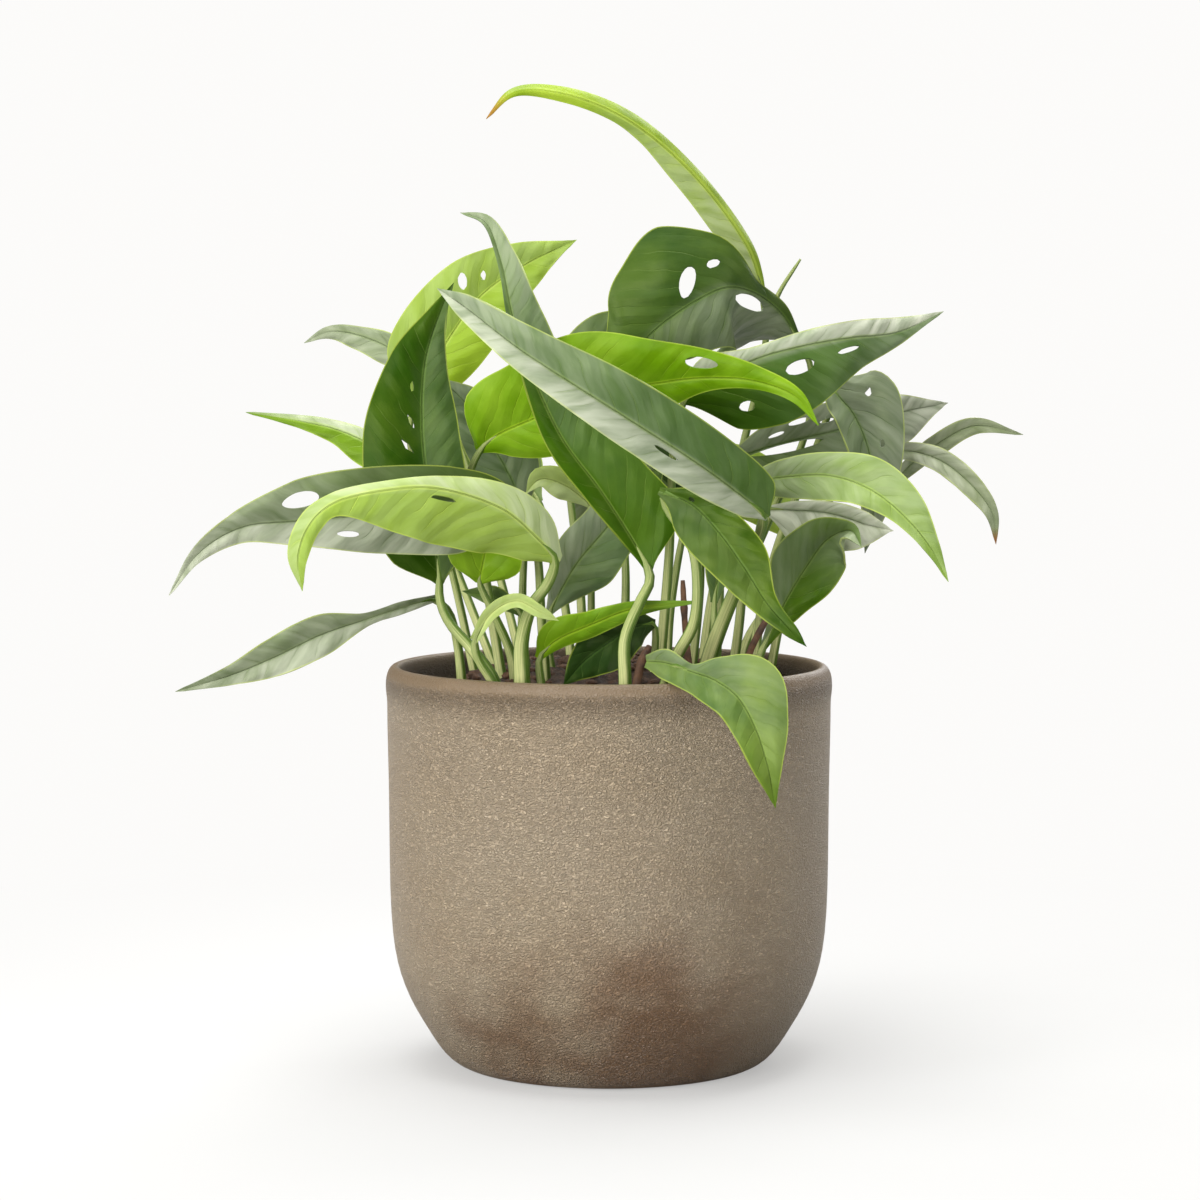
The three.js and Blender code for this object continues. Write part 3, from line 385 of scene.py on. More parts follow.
      [-60, 94, 182, 8, 8], [-67, 99, 170, 0.4, 0.4]],
    "stalk": [[-12, 40, 120], [-16, 46, 155]],
  },
  "back_middle_leaf": {
    "fold": [-12, -12], "wave": 0.5, "thick": [1.8, 1.3],
    "look": ["grey", 0.3, 0.3, 0.3, 0.3, 0.4],
    "rows": [[4, 52, 190, 1.2, 1.2], [2, 66, 200, 13, 13], [-2, 84, 198, 15, 15], [-6, 98, 184, 9, 9],
      [-8, 104, 166, 0.4, 0.4]],
    "stalk": [[4, 36, 120], [6, 42, 160]],
  },
  "back_low_right_leaf": {
    "fold": [-12, -12], "wave": 0.5, "thick": [1.8, 1.3],
    "look": ["lime", 0.1, 0.1, 0.1, 0.1, 0.5],
    "rows": [[28, 60, 182, 1.2, 1.2], [37, 76, 192, 12, 12], [51, 90, 190, 13, 13], [62, 98, 180, 8, 8],
      [70, 102, 168, 0.4, 0.4]],
    "stalk": [[20, 46, 120], [22, 52, 150]],
  },
  "back_upper_leaf": {
    "fold": [-12, -12], "wave": 0.5, "thick": [1.8, 1.3],
    "look": ["dark", 0.1, 0.1, 0.1, 0.1, 0.3],
    "rows": [[-12, 48, 214, 1.2, 1.2], [-8, 58, 228, 12, 12], [2, 70, 240, 14, 14], [14, 82, 242, 8, 8],
      [26, 92, 236, 0.4, 0.4]],
    "stalk": [[-8, 24, 120], [-10, 32, 160], [-14, 42, 200]],
  },
}

# The mound of soil, in millimetres: radius and height.
MOUND = ((0, 135), (16, 135), (32, 133), (46, 130), (58, 124), (66, 117), (68, 114))

# Bare stems in the soil, in millimetres: path and the radii at both ends.
STEMS = {
    "thin_vine": {"path": [[44, -30, 122], [45, -32, 138], [53, -34, 155]], "thick": [1.3, 1.0]},
    "brown_stub": {"path": [[8, -44, 122], [10, -42, 137], [13, -38, 143]], "thick": [1.6, 1.3]},
    "dark_stem": {"path": [[28, -30, 122], [25, -32, 146], [24, -30, 164]], "thick": [1.2, 0.9]},
}

# Colours as seen, 0 to 255: the blade, its veins and its underside.
TONES = {
    "pale": ((184, 205, 104), (206, 218, 136), (180, 200, 110)),
    "lime": ((128, 158, 30), (184, 204, 90), (142, 174, 60)),
    "bright": ((98, 142, 0), (156, 184, 44), (136, 168, 52)),
    "mid": ((94, 126, 26), (152, 178, 80), (128, 158, 66)),
    "green": ((50, 88, 4), (122, 146, 66), (106, 136, 62)),
    "dark": ((36, 70, 4), (98, 124, 56), (92, 120, 60)),
    "deep": ((22, 52, 8), (72, 102, 46), (60, 88, 40)),
    "grey": ((62, 86, 28), (124, 140, 92), (140, 152, 112)),
    "sheath": ((150, 172, 76), (196, 204, 130), (176, 188, 106)),
}
SILVER_CAST_AND_SHEEN = (198, 200, 182)
YELLOW = (196, 209, 88)
TIP_BROWN = (132, 70, 34)
LEAF_GLOSS = (0.8, 1.0, 0.3, 1.0)
STALK_GREEN = (84, 112, 34)
STALK_DEEP = (54, 88, 20)
STALK_CREAM = (198, 200, 138)
STEM_BROWN = (98, 66, 40)
STEM_DARK = (58, 38, 24)
POT_TAUPE = (180, 161, 133)
POT_PAINTED_SHADE = (104, 86, 66)
POT_PALE = (188, 172, 148)
POT_BROWN = (130, 98, 68)
POT_LIP = (88, 68, 42)
POT_INSIDE_SHADE = (48, 36, 22)
SOIL_DARK = (38, 27, 20)
SOIL_BROWN = (84, 60, 42)
BARK_BROWN = (104, 70, 46)


def linear(colour):
    """A colour given as seen, 0 to 255, as the linear values that the shader takes."""
    values = []
    for part in colour:
        part /= 255.0
        values.append(part / 12.92 if part <= 0.04045 else ((part + 0.055) / 1.055) ** 2.4)
    return (*values, 1.0)


# Curves


class Curve:
    """Smooth curve through points, with even steps along its length, as the part's source makes it."""

    def __init__(self, points, samples=240):
        self.points = [Vector(p[:3]) for p in points]
        places = [self.spot(i / samples) for i in range(samples + 1)]
        steps = [(b - a).length for a, b in zip(places, places[1:])]
        self.lengths = np.concatenate([[0.0], np.cumsum(steps)])
        self.params = np.linspace(0.0, 1.0, samples + 1)
        self.length = float(self.lengths[-1])

    def spot(self, t):
        """The point at a parameter from 0 to 1, on a curve with centripetal knots."""
        points = self.points
        last = len(points) - 1
        i = min(int(t * last), last - 1)
        f = t * last - i
        b, c = points[i], points[i + 1]
        a = points[i - 1] if i > 0 else 2 * b - c
        d = points[i + 2] if i + 2 <= last else 2 * c - b
        first = max((b - a).length ** 0.5, 1e-4)
        middle = max((c - b).length ** 0.5, 1e-4)
        final = max((d - c).length ** 0.5, 1e-4)
        start = (b - a) / first - (c - a) / (first + middle) + (c - b) / middle
        stop = (c - b) / middle - (d - b) / (middle + final) + (d - c) / final
        start, stop = start * middle, stop * middle
        return (
            b
            + start * f
            + (3 * (c - b) - 2 * start - stop) * f * f
            + (2 * (b - c) + start + stop) * f * f * f
        )

    def param(self, u):
        return float(np.interp(u * self.length, self.lengths, self.params))

    def at(self, u):
        return self.spot(self.param(u))

    def direction(self, t):
        low, high = max(t - 1e-3, 0.0), min(t + 1e-3, 1.0)
        return (self.spot(high) - self.spot(low)).normalized()


def through(values, t):
    """Smooth value through a list of values, with the same parameter as the curve."""
    last = len(values) - 1
    i = min(int(t * last), last - 1)
    f = t * last - i
    a = values[max(i - 1, 0)]
    b, c = values[i], values[i + 1]
    d = values[min(i + 2, last)]
    smooth = b + 0.5 * f * (c - a + f * (2 * a - 5 * b + 4 * c - d + f * (3 * (b - c) + d - a)))
    return max(smooth, LEAST_WIDTH * min(b, c))


class Blade:
    """The surface of one leaf blade, in millimetres, from its rows."""

    def __init__(self, leaf):
        self.leaf = leaf
        self.curve = Curve(leaf["rows"])
        self.left = [row[3] for row in leaf["rows"]]
        self.right = [row[4] for row in leaf["rows"]]
        self.frames = {}

    def frame(self, u):
        """The midrib at a place along it: the point, the way to the side, the way out, both half widths."""
        if u not in self.frames:
            t = self.curve.param(u)
            along = self.curve.direction(t)
            side = Vector((0, -1, 0)).cross(along).normalized()
            face = along.cross(side).normalized()
            tip = min(1.0, TIP_WIDTH + (1 - u) * self.curve.length / TIP_LENGTH)
            widths = [tip * through(values, t) for values in (self.left, self.right)]
            self.frames[u] = (self.curve.spot(t), side, face, *widths)
        return self.frames[u]

    def reach(self, u, v):
        return self.frame(u)[3 if v < 0 else 4]

    def quilt(self, u, v):
        """Height of the soft swelling between the side veins."""
        out = abs(v) * self.reach(u, v)
        phase = (u * self.curve.length - VEIN_SLANT * out) / VEIN_SPACING + (0.5 if v < 0 else 0.0)
        swell = 0.5 - 0.5 * math.cos(2 * math.pi * phase)
        edge = min(1.0, out / QUILT_MIDRIB) * min(1.0, (1.0 - abs(v)) / QUILT_MARGIN)
        return QUILT_HEIGHT * swell * edge * min(1.0, self.reach(u, v) / QUILT_REACH)

    def spot(self, u, v):
        """A point of the blade: u along it from 0 to 1, v across it from -1 at the left to 1."""
        place, side, face, left, right = self.frame(u)
        reach = left if v < 0 else right
        amount = abs(v)
        full = min(1.0, reach / WAVE_REACH)
        slope = math.tan(math.radians(self.leaf["fold"][0 if v < 0 else 1]))
        rounded = math.sqrt(amount * amount + FOLD_ROUNDING) - FOLD_DROP
        lift = reach * rounded * slope
        lift += BLADE_CAMBER * reach * math.sin(math.pi * amount)
        lift += self.leaf["wave"] * full * amount * amount * math.sin(u * WAVE_TURNS + v)
        lift += RIPPLE * full * amount * math.sin(u * RIPPLE_TURNS + 4 * v + self.curve.length)
        lift += self.quilt(u, v)
        return place - v * reach * side + lift * face


# Modelling helpers


def deselect():
    bpy.ops.object.select_all(action="DESELECT")


def only(piece):
    deselect()
    piece.select_set(True)
    bpy.context.view_layer.objects.active = piece


def start_edit(piece):
    """Edit mode, with all of the piece selected."""
    only(piece)
    bpy.ops.object.mode_set(mode="EDIT")
    bpy.ops.mesh.select_all(action="SELECT")


def end_edit():
    bpy.ops.object.mode_set(mode="OBJECT")


def flip_faces(piece):
    start_edit(piece)
    bpy.ops.mesh.flip_normals()
    end_edit()


def apply_modifiers(piece):
    only(piece)
    for modifier in list(piece.modifiers):
        bpy.ops.object.modifier_apply(modifier=modifier.name)


def set_points(mesh, points):
    mesh.vertices.foreach_set("co", np.array(points, dtype=np.float32).ravel())
    mesh.update()


def add(primitive, name, **sizes):
    """A new primitive, on its own in the selection."""
    deselect()
    primitive(**sizes)
    piece = bpy.context.active_object
    piece.name = piece.data.name = name
    return piece


def add_grid(name, cells_x, cells_y):
    """A flat grid whose vertices run row by row: first along x, then y."""
    grid = bpy.ops.mesh.primitive_grid_add
    return add(grid, name, x_subdivisions=cells_x, y_subdivisions=cells_y, size=1.0)


def grid_values(piece):
    """Where each vertex of a new grid lies, 0 to 1 both ways."""
    places = np.zeros(len(piece.data.vertices) * 3, dtype=np.float32)
    piece.data.vertices.foreach_get("co", places)
    return (places.reshape(-1, 3)[:, :2] + 0.5).tolist()


def write_map(mesh, name, values):
    """A UV map from one pair of values for each vertex."""
    layer = mesh.uv_layers.get(name) or mesh.uv_layers.new(name=name)
    corners = np.zeros(len(mesh.loops), dtype=np.int32)
    mesh.loops.foreach_get("vertex_index", corners)
    layer.data.foreach_set("uv", np.asarray(values, dtype=np.float32)[corners].ravel())


def write_colour(mesh, name, values):
    layer = mesh.color_attributes.new(name=name, type="FLOAT_COLOR", domain="POINT")
    layer.data.foreach_set("color", np.asarray(values, dtype=np.float32).ravel())


# Leaves


def cut_holes(blade, piece, spots):
    """Takes the faces inside each hole out and draws the rim of the gap onto the hole's outline."""
    mesh = piece.data
    gone = set()
    for along, across, length, width, turn in blade.leaf.get("holes", []):
        reach = blade.reach(along, across)
        angle = math.radians(turn if across < 0 else -turn)
        size = blade.curve.length

        def local(spot):
            x = (spot[0] - along) * size
            y = (spot[1] - across) * reach
            return (
                (x * math.cos(angle) + y * math.sin(angle)) / (length / 2),
                (y * math.cos(angle) - x * math.sin(angle)) / (width / 2),
            )

        inside = []
        nearest = None
        for face in mesh.polygons:
            middle = sum((np.array(spots[i]) for i in face.vertices), np.zeros(2)) / len(face.vertices)
            distance = math.hypot(*local(middle))
            if distance < 1.0:
                inside.append(face.index)
            if nearest is None or distance < nearest[0]:
                nearest = (distance, face.index)
        inside = inside or [nearest[1]]
        gone.update(inside)
        counts = {}
        for index in inside:
            for vertex in mesh.polygons[index].vertices:
                counts[vertex] = counts.get(vertex, 0) + 1
        # A vertex with all four of its faces gone goes too, and the others move onto the outline.
        for vertex, count in counts.items():
            if count == 4:
                continue
            x, y = local(spots[vertex])
            distance = max(math.hypot(x, y), 1e-3)
            x, y = x / distance * length / 2, y / distance * width / 2
            spots[vertex] = (
                along + (x * math.cos(angle) - y * math.sin(angle)) / size,
                across + (x * math.sin(angle) + y * math.cos(angle)) / reach,
            )
    return gone


def remove_faces(piece, indices):
    """Deletes faces, chosen in face mode so that none beside them goes too."""
    if not indices:
        return
    start_edit(piece)
    bpy.ops.mesh.select_mode(type="FACE")
    bpy.ops.mesh.select_all(action="DESELECT")
    end_edit()
    for face in piece.data.polygons:
        face.select = face.index in indices
    bpy.ops.object.mode_set(mode="EDIT")
    bpy.ops.mesh.delete(type="FACE")
    end_edit()


def make_blade(name, leaf):
    """One leaf blade: a grid bent along the midrib, its holes cut out, then thickened."""
    blade = Blade(leaf)
    cells = round(blade.curve.length / BLADE_CELL_LENGTH)
    piece = add_grid(name + "_blade", cells, BLADE_CELLS_ACROSS)
    spots = [(x, y * 2 - 1) for x, y in grid_values(piece)]
    gone = cut_holes(blade, piece, spots)
    mesh = piece.data
    set_points(mesh, [blade.spot(u, v) * MM for u, v in spots])
    tone, left_base, left_tip, right_base, right_tip, lit = leaf["look"]
    sizes = []
    tints = []
    for u, v in spots:
        out = v * blade.reach(u, v)
        sizes.append((u * blade.curve.length / MAP_UNIT, 0.5 + out / MAP_UNIT))
        # Each half's silvery cast with painted sheen, below 0 its painted shade, blended at the midrib.
        left = left_base + (left_tip - left_base) * u * u
        right = right_base + (right_tip - right_base) * u * u
        share = min(1.0, max(0.0, 0.5 + TINT_BLEND * v))
        silver_and_sheen = left + (right - left) * share
        tints.append((max(0.0, silver_and_sheen), lit, max(0.0, -silver_and_sheen), 1.0))
    write_map(mesh, mesh.uv_layers[0].name, [(u, 0.5 + v / 2) for u, v in spots])
    write_map(mesh, "Size", sizes)
    write_colour(mesh, "Tint", tints)
    thin = piece.vertex_groups.new(name="Thickness")
    for index, (u, _) in enumerate(spots):
        share = min(1.0, max(THINNEST, blade.reach(u, 1) / FULL_REACH))
        thin.add([index], share, "REPLACE")
    remove_faces(piece, gone)
    for under in (False, True):
        mesh.materials.append(leaf_material(tone, under, "red_tip" in leaf))
    front = blade.frame(0.5)[2]
    if mesh.polygons[0].normal.dot(front) < 0:
        flip_faces(piece)
    wall = piece.modifiers.new("Thickness", "SOLIDIFY")
    wall.thickness = BLADE_THICKNESS * MM
    wall.vertex_group = thin.name
    wall.offset = 0.0
    wall.material_offset = 1
    wall.material_offset_rim = 0
    apply_modifiers(piece)
    bpy.ops.object.shade_smooth_by_angle(angle=SMOOTH_ANGLE)
    return piece, blade


def stalk_path(leaf, blade):
    """The stalk's own path, run on a little way under the blade."""
    joint = leaf.get("joint", STALK_JOINT)
    end = blade.curve.at(joint)
    beyond = blade.curve.at(joint + STALK_OVERLAP / blade.curve.length)
    return leaf["stalk"] + [list(end), list(beyond)]


def make_tube(name, path, radii, material, groove=0.0, knob=0.0, taper=0.0):
    """A stalk or stem: a grid rolled into a tube along its path and closed at both ends."""
    curve = Curve(path)
    cells = round(curve.length / STALK_STEP)
    piece = add_grid(name, cells, STALK_SIDES)
    flat = grid_values(piece)
    rings = []
    across = Vector((1, 0, 0))
    for step in range(cells + 1):
        u = step / cells
        along = curve.direction(curve.param(u))
        across = (across - along * across.dot(along)).normalized()
        rings.append((curve.at(u), across, along.cross(across)))
    points = []
    for x, y in flat:
        step = round(x * cells)
        u = step / cells
        centre, side, other = rings[step]
        angle = 2 * math.pi * y
        radius = radii[0] + (radii[1] - radii[0]) * u
        radius *= 1.0 - taper * max(0.0, (u * curve.length - curve.length + STALK_TIP) / STALK_TIP)
        radius *= 1.0 - groove * math.exp(-((math.sin(angle / 2 + GROOVE_TURN) / GROOVE_WIDTH) ** 2))
        radius *= 1.0 + knob * sum(math.exp(-(((u - place) / long) ** 2)) for place, long in KNOBS)
        if step in (0, cells):
            radius *= END_ROUNDING
        out = side * radius * math.cos(angle) + other * radius * math.sin(angle)
        points.append((centre + out) * MM)
    set_points(piece.data, points)
    write_map(piece.data, piece.data.uv_layers[0].name, flat)
    piece.data.materials.append(material)
    start_edit(piece)
    bpy.ops.mesh.remove_doubles(threshold=MERGE_DISTANCE)
    bpy.ops.mesh.fill_holes(sides=0)
    bpy.ops.mesh.select_all(action="SELECT")
    bpy.ops.mesh.normals_make_consistent(inside=False)
    end_edit()
    bpy.ops.object.shade_smooth_by_angle(angle=SMOOTH_ANGLE)
    return piece


def join(pieces, name):
    deselect()
    for piece in pieces:
        piece.select_set(True)
    bpy.context.view_layer.objects.active = pieces[0]
    bpy.ops.object.join()
    pieces[0].name = pieces[0].data.name = name
    return pieces[0]


def make_leaf(name, leaf):
    piece, blade = make_blade(name, leaf)
    path = stalk_path(leaf, blade)
    foot, top = leaf["thick"]
    radii = (foot, STALK_END * top)
    green = stalk_material()
    parts = [piece, make_tube(name + "_stalk", path, radii, green, groove=STALK_GROOVE, taper=STALK_TAPER)]
    if "bud" in leaf:
        parts.append(make_tube(name + "_bud", leaf["bud"], BUD_RADII, green, knob=BUD_KNOB))
    finish_piece(join(parts, "green_" + name), name)


def make_stem(name, stem):
    bare = make_tube("bare_" + name, stem["path"], stem["thick"], stem_material(), knob=STEM_KNOB)
    finish_piece(bare, name)


def finish_piece(piece, node_name):
    """Puts the piece in the place of its solid, which is hidden, and on the one body."""
    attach(piece, "root")
    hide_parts(node_name)


# Pot


def pot_profile():
    """The pot's outline from the middle of its base round to the middle of its floor, in metres."""
    outer = [(0.049, 0.0), (0.0512, 0.0003), (0.0545, 0.0022), (0.0580, 0.0062), (0.0620, 0.0128),
             (0.0661, 0.0196), (0.0692, 0.0265), (0.0714, 0.0335), (0.0730, 0.0430), (0.0738, 0.0580),
             (0.0739, 0.0760), (0.0740, 0.0950), (0.0745, 0.1150), (0.0744, 0.1224), (0.0747, 0.1240)]
    lip = [(POT_RADIUS, 0.127), (0.0748, 0.1300), (0.0741, 0.1322), (0.0729, 0.1337), (0.0715, POT_HEIGHT),
           (0.0704, 0.1334), (0.0697, 0.1318), (0.0692, 0.1290)]
    inner = [(POT_INNER_RADIUS, 0.116), (0.0680, 0.080), (0.0680, 0.044), (0.0660, 0.026), (0.0600, 0.014),
             (0.0500, POT_FLOOR)]
    return [(0.0, 0.0)] + outer + lip + inner + [(0.0, POT_FLOOR)]


def make_pot():
    """The pot: its outline as a line of vertices, spun round the axis."""
    outline = pot_profile()
    last = len(outline) - 1
    piece = add_grid("stoneware_pot", last, 1)
    order = [round(x * last) for x, _ in grid_values(piece)]
    set_points(piece.data, [(outline[i][0], 0.0, outline[i][1]) for i in order])
    start_edit(piece)
    bpy.ops.mesh.remove_doubles(threshold=MERGE_DISTANCE)
    bpy.ops.mesh.delete(type="ONLY_FACE")
    bpy.ops.mesh.select_all(action="SELECT")
    bpy.ops.mesh.spin(steps=POT_SIDES, angle=2 * math.pi, center=(0, 0, 0), axis=(0, 0, 1))
    bpy.ops.mesh.select_all(action="SELECT")
    bpy.ops.mesh.remove_doubles(threshold=MERGE_DISTANCE)
    bpy.ops.mesh.normals_make_consistent(inside=False)
    end_edit()
    round_off = piece.modifiers.new("Round", "SUBSURF")
    round_off.levels = round_off.render_levels = 1
    apply_modifiers(piece)
    bpy.ops.object.shade_smooth()
    piece.data.materials.append(pot_material())
    finish_piece(piece, "pot")


# Soil


def soil_height(x, y):
    """Height of the mound at a place, with low bumps of two sizes."""
    radius = math.hypot(x, y) / MM
    level = float(np.interp(radius, *zip(*MOUND)))
    bumps = 0.7 * math.sin(310 * x + 1) * math.cos(270 * y)
    bumps += 0.5 * math.sin(900 * x + 2.0 * math.sin(700 * y)) * math.cos(830 * y)
    return (level + bumps) * MM


def make_soil():
    """The soil: a circle drawn inwards ring by ring, raised to the mound, with crumbs and bark on it."""
    draw = random.Random(11)
    circle = bpy.ops.mesh.primitive_circle_add
    piece = add(circle, "soil_mound", vertices=SOIL_SIDES, radius=SOIL_RADIUS, fill_type="NOTHING")
    start_edit(piece)
    for left in range(SOIL_RINGS, 0, -1):
        bpy.ops.mesh.extrude_region_move()
        scale = (left - 1) / left if left > 1 else SOIL_LAST_RING
        bpy.ops.transform.resize(value=(scale, scale, 1.0), center_override=(0, 0, 0))
    bpy.ops.mesh.edge_face_add()
    end_edit()
    for vertex in piece.data.vertices:
        crumb = draw.uniform(*SOIL_CRUMB)
        vertex.co.z = soil_height(vertex.co.x, vertex.co.y) + crumb
    start_edit(piece)
    bpy.ops.mesh.normals_make_consistent(inside=False)
    end_edit()
    if piece.data.polygons[0].normal.z < 0:
        flip_faces(piece)
    wall = piece.modifiers.new("Depth", "SOLIDIFY")
    wall.thickness = SOIL_DEPTH
    wall.offset = -1.0
    apply_modifiers(piece)
    bpy.ops.object.shade_smooth()
    piece.data.materials.append(soil_material())
    chips = [make_chip(draw) for _ in range(CHIP_COUNT)]
    finish_piece(join([piece, *chips], "potting_soil"), "soil")


def make_chip(draw):
    """One piece of bark or one crumb, half sunk in the soil."""
    angle = draw.uniform(0, 2 * math.pi)
    radius = CHIP_SPREAD * math.sqrt(draw.random())
    x, y = radius * math.cos(angle), radius * math.sin(angle)
    long = draw.uniform(*CHIP_LENGTH)
    chip = add(bpy.ops.mesh.primitive_ico_sphere_add, "bark_chip", subdivisions=2, radius=1.0)
    wide = long * draw.uniform(*CHIP_WIDTH)
    deep = long * draw.uniform(*CHIP_DEPTH)
    size = Matrix.Diagonal((long, wide, deep, 1.0))
    turn = Matrix.Rotation(draw.uniform(0, CHIP_TURN), 4, "Z")
    turn = turn @ Matrix.Rotation(draw.uniform(-CHIP_TILT, CHIP_TILT), 4, "X")
    place = Matrix.Translation((x, y, soil_height(x, y) + CHIP_RISE))
    for vertex in chip.data.vertices:
        vertex.co *= draw.uniform(*CHIP_LUMPS)
    chip.data.transform(place @ turn @ size)
    chip.data.materials.append(bark_material())
    return chip


# Materials


def feed(made, **inputs):
    """Gives a node its inputs by socket name, or by number as in i0: a value is set, a link is made."""
    for key, value in inputs.items():
        socket = made.inputs[int(key[1:]) if key[1:].isdigit() else key.replace("_", " ")]
        if isinstance(value, Mask):
            value = value.socket
        if isinstance(value, bpy.types.NodeSocket):
            made.id_data.links.new(value, socket)
        else:
            socket.default_value = value


def node(tree, kind, settings=None, **inputs):
    """One shader node, with settings as its own properties."""
    made = tree.nodes.new(kind)
    for key, value in (settings or {}).items():
        setattr(made, key, value)
    feed(made, **inputs)
    return made


def maths(operation, a, b=0.0):
    """A Math node on two numbers, of which one at least is a mask."""
    tree = (a if isinstance(a, Mask) else b).socket.id_data
    return Mask(node(tree, "ShaderNodeMath", {"operation": operation}, i0=a, i1=b).outputs[0])


class Mask:
    """A number that a shader works out at each point. Arithmetic on it makes Math nodes."""

    def __init__(self, socket):
        self.socket = socket

    def __add__(self, other):
        return maths("ADD", self, other)

    def __sub__(self, other):
        return maths("SUBTRACT", self, other)

    def __rsub__(self, other):
        return maths("SUBTRACT", other, self)

    def __mul__(self, other):
        return maths("MULTIPLY", self, other)

    def __truediv__(self, other):
        return maths("DIVIDE", self, other)

    def __abs__(self):
        return maths("ABSOLUTE", self)

    __radd__ = __add__
    __rmul__ = __mul__

    def clamped(self):
        """The same sum or product, kept from 0 to 1."""
        self.socket.node.use_clamp = True
        return self

    def ramp(self, low, high):
        """0 at low, 1 at high, smooth between."""
        settings = {"interpolation_type": "SMOOTHSTEP"}
        limits = {"From_Min": low, "From_Max": high}
        made = node(self.socket.id_data, "ShaderNodeMapRange", settings, Value=self, **limits)
        return Mask(made.outputs["Result"])


def vector_maths(tree, operation, **inputs):
    return node(tree, "ShaderNodeVectorMath", {"operation": operation}, **inputs).outputs[0]


def separate(tree, vector):
    """The three parts of a vector."""
    return [Mask(part) for part in node(tree, "ShaderNodeSeparateXYZ", Vector=vector).outputs]


def noise(tree, vector, scale, detail, **inputs):
    made = node(tree, "ShaderNodeTexNoise", Vector=vector, Scale=scale, Detail=detail, **inputs)
    return Mask(made.outputs[0])


def uv_map(tree, name):
    return node(tree, "ShaderNodeUVMap", {"uv_map": name}).outputs[0]


def camera_ray(tree):
    """1 for what the camera sees and 0 for the light on other things."""
    return Mask(node(tree, "ShaderNodeLightPath").outputs["Is Camera Ray"])


def paint(colour, layers):
    """Lays colours over one another: each layer is how much of it shows and its colour."""
    for share, over in layers:
        tree = share.socket.id_data
        colour = node(tree, "ShaderNodeMix", {"data_type": "RGBA"}, i0=share, i6=colour, i7=over).outputs[2]
    return colour


def relief(height, strength, distance, invert=False):
    """A normal that follows a height."""
    values = {"Strength": strength, "Distance": distance, "Height": height}
    return node(height.socket.id_data, "ShaderNodeBump", {"invert": invert}, **values).outputs[0]


def new_group(name, **kinds):
    """A shader node group with its inputs by name and kind, and those inputs as read inside it."""
    group = bpy.data.node_groups.new(name, "ShaderNodeTree")
    for label, kind in kinds.items():
        group.interface.new_socket(name=label, in_out="INPUT", socket_type="NodeSocket" + kind)
    return group, group.nodes.new("NodeGroupInput").outputs


def end_group(group, **masks):
    """Puts the masks out of the group, each from an output of its own."""
    for label in masks:
        group.interface.new_socket(name=label, in_out="OUTPUT", socket_type="NodeSocketFloat")
    feed(group.nodes.new("NodeGroupOutput"), **masks)
    return group


def place_group(tree, group, **inputs):
    """A group placed in a material, with the masks that it puts out by name."""
    made = node(tree, "ShaderNodeGroup", {"node_tree": group}, **inputs)
    return {output.name: Mask(output) for output in made.outputs}


def once(maker):
    """Makes a material or group the first time it is asked for, and gives the same one after that."""
    made = {}

    def give(*words):
        if words not in made:
            made[words] = maker(*words)
        return made[words]

    return give


@once
def mottle_group():
    """Soft patches from two sizes of noise, 0 to 1."""
    group, given = new_group("Mottle", Vector="Vector", Scale="Float")
    large = noise(group, given["Vector"], given["Scale"], 4.0)
    small = noise(group, given["Vector"], 3.7 * Mask(given["Scale"]), 3.0)
    return end_group(group, Value=(0.7 * large + 0.3 * small).ramp(0.34, 0.66))


def mottle(tree, vector, scale):
    return place_group(tree, mottle_group(), Vector=vector, Scale=scale)["Value"]


@once
def vein_group():
    """Midrib, side veins, margin, streaks and relief of a blade, from its two maps."""
    group, given = new_group("Blade veins", Span="Vector", Size="Vector")
    span = separate(group, given["Span"])
    size = separate(group, given["Size"])
    across = MAP_UNIT * (size[1] - 0.5)
    out = abs(across)
    part = abs(2.0 * span[1] - 1.0)
    reach = out / maths("MAXIMUM", part, 0.03)
    wide = reach.ramp(1.5, 4.5)
    crease = out.ramp(0.3, 0.1)
    # Side veins lie at even phases along the midrib, half a step apart on the two sides.
    left = maths("LESS_THAN", across, 0.0)
    wobble = noise(group, given["Size"], 6.0, 2.0)
    cross = MAP_UNIT * size[0] + VEIN_WOBBLE * (wobble - 0.5) - VEIN_SLANT * out
    phase = cross / VEIN_SPACING + 0.5 * left
    gap = abs(maths("FRACT", phase) - 0.5)
    fade = part.ramp(0.98, 0.6) * wide
    shown = fade * wobble.ramp(0.35, 0.6)
    veins = gap.ramp(0.46, 0.5) * shown
    # Streaks are noise drawn out along the side veins.
    drawn = node(group, "ShaderNodeCombineXYZ", X=0.14 * cross, Y=0.08 * out, Z=7.0 * left).outputs[0]
    streaks = noise(group, drawn, 1.0, 4.0, Roughness=0.5).ramp(0.2, 0.8)
    swell = (0.5 - gap) * fade
    return end_group(
        group,
        Crease=crease * wide,
        Midrib=out.ramp(0.95, 0.45) * span[0].ramp(1.0, 0.6),
        Veins=veins,
        Valley=gap.ramp(0.34, 0.5) * shown,
        Margin=(reach - out).ramp(0.5, 0.2) * wide,
        Streaks=streaks,
        Along=span[0],
        Height=(0.4 * streaks + 1.2 * swell - 0.25 * veins - crease) * wide,
    )


def new_material(name):
    """A material with its tree, its shader and the place on the object that patterns follow."""
    material = bpy.data.materials.new(name)
    material.use_nodes = True
    tree = material.node_tree
    place = node(tree, "ShaderNodeTexCoord").outputs["Object"]
    return material, tree, tree.nodes["Principled BSDF"], place


